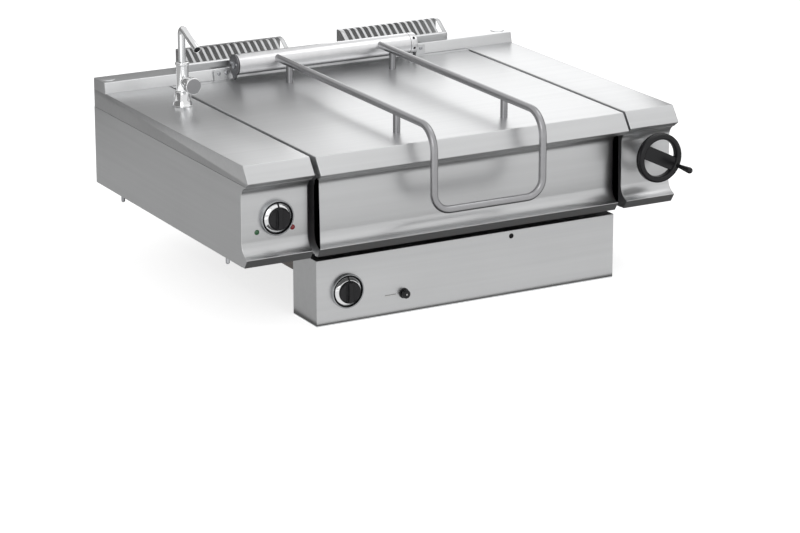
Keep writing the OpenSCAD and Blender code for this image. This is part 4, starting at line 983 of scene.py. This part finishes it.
class BRATT_OT_knobs(bpy.types.Operator):
    """Knobs with plated skirts and fixed bezels, the igniter button and its mark"""

    bl_idname = "bratt.knobs"
    bl_label = "Knobs"

    def execute(self, context):
        for node, panel, body in (
            ("thermostat_knob", FLAT_BACK, "thermostat"),
            ("gas_knob", BOX[0][1], "gas_control"),
        ):
            tip = front_of(node)
            base = (tip[0], panel, tip[2])
            loop = ring_loop(39.8, 43.0, 10.5, 1.4, 1.0)
            # The bezel takes the darker plating, which paints shade into its reflection.
            bezel = lathe(f"{node}_bezel", loop, base, FORWARD, finish("bezel"), 128, closed=True)
            attach(bezel, "frame", "chrome", "knob_bezels")
            skirt = [(24.0, 1.0), (35.8, 1.0), (36.2, 6.0), (36.0, 8.4), (35.2, 9.6), (30.4, 13.6),
                     (28.6, 14.6), (27.4, 14.8), (24.0, 13.0)]
            ring = lathe(f"{node}_skirt", skirt, base, FORWARD, finish("chrome"), 128, closed=True)
            attach(self.notch(f"{node}_notch", base), body, "black_plastic", node)
            attach(ring, body, "chrome", node)
            loop = [(40.4, 0.1), (40.4, 0.6), (8, 0.6), (8, 0.1)]
            well = lathe(f"{node}_well", loop, base, FORWARD, finish("dull"), 64, closed=True)
            attach(well, "frame", "black_plastic", "knob_bezels")
            attach(self.cap(f"{node}_cap", base, panel - tip[1]), body, "black_plastic", node)
        self.igniter()
        return {"FINISHED"}

    def notch(self, name, base):
        """Dark insert that follows the skirt's cone at its top: (h, r) from the panel and the axis."""
        section = ((9.4, 36.0), (14.9, 29.0), (14.9, 26), (5, 26), (5, 36.0))
        x, panel, z = base
        outline = [(panel - h, z + r) for h, r in section]
        return side_plate(name, outline, x - 2.2, x + 2.2, finish("dull"), 0.1)

    def cap(self, name, base, out):
        """Satin cap: h(r, u) = edge roll-off of r, less a hollow on both sides of a central bar.

        The bar's half width grows from its waist by the square of the height on it, and the hollow
        deepens smoothly beside it and fades again towards the rim.
        """
        r_out, bar_rise, hollow, flank = 28.0, 3.2, 4.6, 3.6
        edge = [(r_out - 0.4, 4.0), (r_out, 13.0), (r_out, out - 6.5), (r_out - 0.3, out - 5.2),
                (r_out - 1.0, out - 4.1)]
        face = [(r, out - 3.2 - 0.2 * (1 - r / r_out)) for r in np.linspace(r_out - 2.2, 0.4, 30)]
        rings = np.array(edge + face)
        radius, height = rings[:, :1], rings[:, 1:]
        turn = np.linspace(0, 2 * math.pi, 180, endpoint=False)
        u, v = radius * np.cos(turn), radius * np.sin(turn)
        width = 3.4 + 2.0 * (v / r_out) ** 2
        bar = smooth((width + flank - np.abs(u)) / flank)
        inside = smooth((r_out - 1.4 - radius) / 2.2)
        dish = hollow * (1 - np.clip(np.abs(u) / r_out, 0, 1))
        h = height + inside * (bar * bar_rise - (1 - bar) * dish)
        verts = np.stack([base[0] + u, base[1] - h, base[2] + v], -1)
        return turned_grid(name, verts, finish("black"), 60)

    def igniter(self):
        """Push button with a domed head, its locking ring, a pale dot on its tip as a painted highlight, and
        the engraved line beside it.
        """
        x, tip, z = front_of("igniter_button")
        face = BOX[0][1]
        base, out, black = (x, face, z), face - tip, finish("black")
        loop = [(13, 0), (13, 1.6), (12.2, 3.0), (10.4, 3.4), (10.2, 2.0), (4.9, 2.0), (4.9, 0)]
        collar = lathe("igniter_collar", loop, base, FORWARD, black, 72, closed=True)
        attach(collar, "frame", "black_plastic", "igniter_body")
        head = [(4.9, 1.0), (4.9, out - 9), (10.0, out - 8.6), (10.6, out - 7.8), (10.6, out - 2.6),
                (10.2, out - 1.5), (9.2, out - 0.7), (7.0, out - 0.2), (3.4, out), (2.6, out - 0.5),
                (0.4, out - 0.7)]
        attach(lathe("igniter_head", head, base, FORWARD, black, 72), "igniter", "black_plastic",
               "igniter_button")
        # The pale dot on the button's tip is a painted highlight.
        dot = [(2.2, out - 0.9), (2.2, out - 0.3), (1.6, out - 0.05), (0.2, out)]
        attach(lathe("igniter_painted_highlight", dot, base, FORWARD, finish("mark"), 24), "igniter", "grey_plastic")
        for name, rise, half, look in (
            ("igniter_line", 1.3, 0.5, "line"),
            ("igniter_line_edge", -0.5, 1.1, "mark"),
        ):
            low = (x - 52, face - 0.15, z + rise - half)
            high = (x - 22, face + 0.1, z + rise + half)
            attach(block(name, low, high, finish(look), 0.05), "frame", "grey_plastic")


class BRATT_OT_handwheel(bpy.types.Operator):
    """Handwheel with a thick rim and a flat spoke, and its turning grip"""

    bl_idname = "bratt.handwheel"
    bl_label = "Handwheel"

    def execute(self, context):
        low, high = extent("handwheel")
        black = finish("black")
        r_rim, thick, width = 55.0, 12.0, 8.0
        x, z, d = (low[0] + high[0]) / 2, (low[2] + high[2]) / 2, high[1] - 18
        turn = np.linspace(0, 2 * math.pi, 28, endpoint=False)
        loop = [(r_rim + width * rounded(math.cos(t)), thick * rounded(math.sin(t))) for t in turn]
        rim = lathe("handwheel_rim", loop, (x, d, z), FORWARD, black, 144, 60, closed=True)
        lean, half = math.radians(-26), 17.5
        ends = [(-r_rim, -half), (r_rim, -half), (r_rim, half), (-r_rim, half)]
        outline = [(x + u * math.cos(lean) - v * math.sin(lean), z + u * math.sin(lean) + v * math.cos(lean))
                   for u, v in ends]
        spoke = plate("handwheel_spoke", outline, d - 5.2, d + 5, black, 1.6)
        profile = [(16.5, -18), (16.5, -6), (17.5, -4.8)]
        hub = lathe("handwheel_hub", profile, (x, d, z), FORWARD, black, 64)
        for piece in (rim, spoke, hub):
            attach(piece, "tilt_handwheel", "black_plastic", "handwheel")
        self.grip()
        return {"FINISHED"}

    def grip(self):
        """Grip on its pin: slim at the neck, thicker outwards, with a round end."""
        low, high = extent("crank_grip")
        length, r_end = high[1] - low[1], 7.9
        grip = [(4.6, 0), (5.6, 0.6), (5.8, 2.4), (5.0, 4), (5.2, 12), (6.0, 24), (7.0, 36), (7.7, 47)]
        grip += [(r_end * math.cos(t), length - r_end + r_end * math.sin(t))
                 for t in np.radians(np.linspace(0, 87, 10))]
        base = ((low[0] + high[0]) / 2, high[1], (low[2] + high[2]) / 2)
        piece = lathe("crank_grip_skin", grip, base, FORWARD, finish("black"), 64, 60)
        attach(piece, "crank", "black_plastic", "crank_grip")


class BRATT_OT_tap(bpy.types.Operator):
    """Tap: conical foot, column, bent spout and turning knob"""

    bl_idname = "bratt.tap"
    bl_label = "Tap"

    column = [(25.5, 0), (25.5, 1.6), (24.8, 2.4), (22.4, 16), (19.8, 31), (19.2, 33.4), (17.4, 36.0),
              (16.2, 37.4), (15.8, 39), (15.8, 102), (16.2, 103.4), (17.2, 104.4), (17.5, 105.2),
              (17.5, 108.4), (16.9, 109.8), (15.0, 110.8), (9.6, 111)]

    def execute(self, context):
        chrome = finish("chrome")
        low, high = extent("tap_body")
        x, d = (low[0] + high[0]) / 2, high[1] - 22.0
        attach(lathe("tap_column", self.column, (x, d, TOP), UP, chrome, 96), "frame", "chrome", "tap_body")
        knob_low, knob_high = extent("tap_knob")
        z = (knob_low[2] + knob_high[2]) / 2
        boss = [(11, 0), (11, 19.2), (10.2, 20.2), (4, 20.2)]
        attach(lathe("tap_boss", boss, (x, d, z), FORWARD, chrome, 64), "frame", "chrome", "tap_body")
        boss_face, play = 20.4, 0.3
        seat = d - boss_face - play
        attach(self.knob(x, seat, z, seat - knob_low[1]), "tap_handle", "chrome", "tap_knob")
        disc = [(19.2, 0), (19.2, 0.4), (18.9, 0.7), (0.4, 0.7)]
        face = lathe("tap_knob_face", disc, (x, knob_low[1] + 0.5, z), FORWARD, finish("satin"), 72)
        attach(face, "tap_handle", "chrome", "tap_knob")
        self.spout(x, d, extent("tap_spout")[1][2])
        return {"FINISHED"}

    def knob(self, x, d, z, length):
        """Grip: r(a, h) is the tapered radius R(h), cut by six cylinders of radius 8 about axes at radius 26.

        At an angle b from a cylinder's axis its near side is at 26 cos b - sqrt(64 - (26 sin b)^2).
        """
        section = np.array([
            (0, 12.4), (0.5, 13), (4, 15), (5, 15.4), (5.6, 15.6), (8, 16.4), (12, 17.4), (18, 18.9),
            (24, 20), (30, 20.7), (34, 21), (37, 21), (37.8, 21), (38.4, 21), (42, 21), (44.6, 21),
            (45.4, 20.6), (46, 19.6), (46, 0.4),
        ])
        reach, finger = 26.0, 8.0
        h, r = section[:, :1] * length / 46, section[:, 1:]
        turn = np.linspace(0, 2 * math.pi, 144, endpoint=False)
        b = (turn + math.pi / 6) % (math.pi / 3) - math.pi / 6
        depth = np.sqrt(np.maximum(finger**2 - (reach * np.sin(b)) ** 2, 0))
        near = np.where(np.abs(reach * np.sin(b)) < finger, reach * np.cos(b) - depth, 99.0)
        radius = np.where((h > 5) & (h < 38), np.minimum(r, near), r)
        a = turn + math.pi / 6
        along = np.broadcast_to(d - h, radius.shape)
        verts = np.stack([x + radius * np.cos(a), along, z + radius * np.sin(a)], -1)
        return turned_grid("tap_knob_skin", verts, finish("chrome"), 40)

    def spout(self, x, d, box_top):
        """Riser, arc of 116 degrees and the start of the straight run, then the hollow outlet piece."""
        r, bore, bend, slope, reach = 9.4, 8.2, 14.0, math.radians(26), 90.0
        chrome = finish("chrome")
        top = box_top - r - bend
        arc = arc_points((d - bend, top), bend, 0, 116, 18)
        along = np.array([-math.cos(slope), -math.sin(slope)])
        path = [(d, TOP + 111.2), (d, TOP + 130), (d, top - 4), *arc, np.array(arc[-1]) + along * 30]
        points = [(x, a, b) for a, b in path]
        attach(tube("tap_riser", points, r, chrome, 48), "spout", "chrome", "tap_spout")
        start = (x, *(np.array(arc[-1]) + along * 29.5))
        length = (d - reach - arc[-1][0]) / along[0] - 29.5
        loop = [(bore, 0), (r, 0), (r, length - 0.5), (r - 0.3, length), (bore + 0.3, length),
                (bore, length - 0.4)]
        end = lathe("tap_outlet", loop, start, (0, *along), chrome, 48, closed=True)
        attach(end, "spout", "chrome", "tap_spout")
        # A dark disc inside the outlet paints the shade in its bore.
        disc = [(bore - 0.05, length - 13), (0.4, length - 12.8)]
        plug = lathe("tap_outlet_painted_shade", disc, start, (0, *along), finish("dull"), 48)
        attach(plug, "spout", "black_plastic", "tap_spout")


def light_path(tree, *rays):
    """Outputs of one Light Path node, each 1 for rays of its kind and 0 for the rest."""
    node = tree.nodes.new("ShaderNodeLightPath")
    return [Socket(tree, node.outputs[ray]) for ray in rays]


def seen_directly(tree):
    """1 for rays from the camera and for reflected or transmitted ones, 0 for the rest."""
    camera, glossy, through = light_path(tree, "Is Camera Ray", "Is Glossy Ray", "Is Transmission Ray")
    return camera.math("MAXIMUM", glossy).math("MAXIMUM", through)


def rectangle(low, high):
    """Corners of a level or upright rectangle between two opposite corners."""
    (x0, y0, z0), (x1, y1, z1) = low, high
    if z0 == z1:
        return [low, (x1, y0, z0), high, (x0, y1, z0)]
    return [low, (x1, y1, z0), high, (x0, y0, z1)]


class BRATT_OT_stage(bpy.types.Operator):
    """Floor, lamps, sky and camera"""

    bl_idname = "bratt.stage"
    bl_label = "Stage"

    floor_reach = 40000.0
    floor_glow = 0.72
    sky_in_steel = 0.8
    camera_place = (-3.6914, -6.7988, 2.1961)
    camera_yaw = math.radians(28.879)
    camera_pitch = math.radians(17.227)
    aim = Vector((0, 0, 0.1))

    def execute(self, context):
        s = context.scene.bratt_stage
        context.scene.view_settings.view_transform = "Standard"
        self.sky(s.sky)
        low, _ = CAD_BOX
        ground, reach = low.z * 1000 - 1.0, self.floor_reach
        corners = rectangle((-reach, -reach, ground), (reach, reach, ground))
        new_piece("floor", corners, [(0, 1, 2, 3)], self.floor_material(tuple(s.floor)))
        for name, place, size, power in (
            ("key_lamp", (1.6, -1.2, 3.4), 3.0, s.key),
            ("fill_lamp", (-3.2, -3.4, 2.4), 2.5, s.fill),
            ("rear_lamp", (2.6, 3.6, 1.7), 2.6, s.rear),
        ):
            self.lamp(name, place, size, power)
        g = ground * 0.001 + 0.004
        for name, near, far, glow in (
            ("card_front", (-1.6, -4.0, g), (4.0, -0.44, g), 0.78),
            ("card_front_edge", (-0.62, -0.58, -0.008), (0.9, -0.432, -0.008), 0.08),
            ("card_side_left", (-1.3, -0.4, 0.3), (-1.3, 0.9, 1.0), 0.2),
            ("card_side_right", (1.5, -0.5, 0.1), (1.5, 0.9, 0.9), 0.2),
            ("card_under", (-0.42, -0.44, g), (4.0, 0.60, g), 0.10),
            ("card_left", (-4.0, -0.44, g), (-0.42, 3.5, g), 0.44),
            ("card_upper", (-1.2, -4.5, 2.4), (5.0, -0.9, 2.4), 0.92),
            ("card_rear", (-1.3, 0.95, 0.05), (0.3, 0.95, 0.72), 0.25),
        ):
            self.card(name, rectangle(near, far), glow)
        self.camera(s.lens)
        return {"FINISHED"}

    def sky(self, strength):
        """World: white to the camera, a little less to reflections, and a plain light for the rest."""
        world = bpy.data.worlds.new("studio_sky")
        bpy.context.scene.world = world
        world.use_nodes = True
        tree = world.node_tree
        tree.nodes.clear()
        out = tree.nodes.new("ShaderNodeOutputWorld")
        light = tree.nodes.new("ShaderNodeBackground")
        light.inputs["Strength"].default_value = strength
        white = tree.nodes.new("ShaderNodeBackground")
        white.inputs["Color"].default_value = (1, 1, 1, 1)
        from_camera, = light_path(tree, "Is Camera Ray")
        shown = from_camera * (1 - self.sky_in_steel) + self.sky_in_steel
        feed(tree, white.inputs["Strength"], shown)
        mix = tree.nodes.new("ShaderNodeMixShader")
        feed(tree, mix.inputs[0], seen_directly(tree))
        tree.links.new(light.outputs[0], mix.inputs[1])
        tree.links.new(white.outputs[0], mix.inputs[2])
        tree.links.new(mix.outputs[0], out.inputs[0])

    def lamp(self, name, place, size, power):
        """A square lamp that faces the object."""
        lamp = bpy.data.lights.new(name, "AREA")
        lamp.size, lamp.energy, lamp.shape = size, power, "SQUARE"
        piece = bpy.data.objects.new(name, lamp)
        piece.location = place
        piece.rotation_euler = (self.aim - Vector(place)).to_track_quat("-Z", "Y").to_euler()
        bpy.context.scene.collection.objects.link(piece)

    def card(self, name, corners, glow):
        """A grey card that only reflections see, as a studio flag keeps white paper out of steel."""
        material, _, shader, _ = blank_material(f"{name}_paint")
        shader.inputs["Base Color"].default_value = (0, 0, 0, 1)
        shader.inputs["Specular IOR Level"].default_value = 0
        shader.inputs["Emission Color"].default_value = (1, 1, 1, 1)
        shader.inputs["Emission Strength"].default_value = glow
        mesh = bpy.data.meshes.new(name)
        mesh.from_pydata(corners, [], [(0, 1, 2, 3)])
        mesh.materials.append(material)
        piece = bpy.data.objects.new(name, mesh)
        bpy.context.scene.collection.objects.link(piece)
        piece.visible_camera = piece.visible_diffuse = piece.visible_shadow = False
        return piece

    def camera(self, focal_length):
        """Camera at the place worked out from the photograph."""
        lens = bpy.data.cameras.new("camera")
        lens.lens, lens.sensor_width, lens.clip_end = focal_length, 36.0, 100.0
        camera = bpy.data.objects.new("camera", lens)
        camera.location = self.camera_place
        yaw, pitch = self.camera_yaw, self.camera_pitch
        ahead = Vector((math.sin(yaw) * math.cos(pitch), math.cos(yaw) * math.cos(pitch), -math.sin(pitch)))
        camera.rotation_euler = ahead.to_track_quat("-Z", "Y").to_euler()
        bpy.context.scene.collection.objects.link(camera)
        bpy.context.scene.camera = camera

    def floor_material(self, colour):
        """Pale floor, white to the camera and to reflections except where the object's shadow lies.

        What the camera and reflections see is the lit floor with a white glow added, so it reaches white
        where the lamps reach it and falls below white in the shadow.
        """
        material, tree, shader, place = blank_material("floor_paper")
        grain = stretched_noise(place, (60.0, 60.0, 60.0), 2.0)
        shader.inputs["Base Color"].default_value = colour + (1.0,)
        feed(tree, shader.inputs["Roughness"], grain * 0.1 + 0.75)
        glow = tree.nodes.new("ShaderNodeEmission")
        glow.inputs["Strength"].default_value = self.floor_glow
        lit = tree.nodes.new("ShaderNodeAddShader")
        tree.links.new(shader.outputs[0], lit.inputs[0])
        tree.links.new(glow.outputs[0], lit.inputs[1])
        mix = tree.nodes.new("ShaderNodeMixShader")
        feed(tree, mix.inputs[0], seen_directly(tree))
        tree.links.new(shader.outputs[0], mix.inputs[1])
        tree.links.new(lit.outputs[0], mix.inputs[2])
        tree.links.new(mix.outputs[0], tree.nodes["Material Output"].inputs["Surface"])
        return material


class BRATT_PT_panel(bpy.types.Panel):
    """The pieces of the bratt pan"""

    bl_idname = "BRATT_PT_panel"
    bl_label = "Bratt pan"
    bl_space_type = "VIEW_3D"
    bl_region_type = "UI"
    bl_category = "Bratt pan"

    def draw(self, context):
        for group in GROUPS:
            box = self.layout.box()
            settings = getattr(context.scene, group)
            for key in settings.__annotations__:
                box.prop(settings, key)
        for operator in OPERATORS:
            self.layout.operator(operator.bl_idname)


GROUPS = {
    "bratt_steel": SteelSettings,
    "bratt_sheet": SheetSettings,
    "bratt_controls": ControlSettings,
    "bratt_stage": StageSettings,
}
OPERATORS = (
    BRATT_OT_finishes,
    BRATT_OT_worktops,
    BRATT_OT_fascias,
    BRATT_OT_sides,
    BRATT_OT_upstand,
    BRATT_OT_grilles,
    BRATT_OT_box,
    BRATT_OT_hinge,
    BRATT_OT_handle,
    BRATT_OT_knobs,
    BRATT_OT_handwheel,
    BRATT_OT_tap,
    BRATT_OT_stage,
)
CLASSES = (*GROUPS.values(), *OPERATORS, BRATT_PT_panel)


def register():
    """Register the classes and hang the settings on the scene."""
    for cls in CLASSES:
        bpy.utils.register_class(cls)
    for name, cls in GROUPS.items():
        setattr(bpy.types.Scene, name, PointerProperty(type=cls))


def unregister():
    """Take the settings and classes away again."""
    for name in GROUPS:
        delattr(bpy.types.Scene, name)
    for cls in reversed(CLASSES):
        bpy.utils.unregister_class(cls)


def main():
    """Run every operator in order."""
    register()
    for operator in OPERATORS:
        group, name = operator.bl_idname.split(".")
        getattr(getattr(bpy.ops, group), name)()


if __name__ == "__main__":
    main()
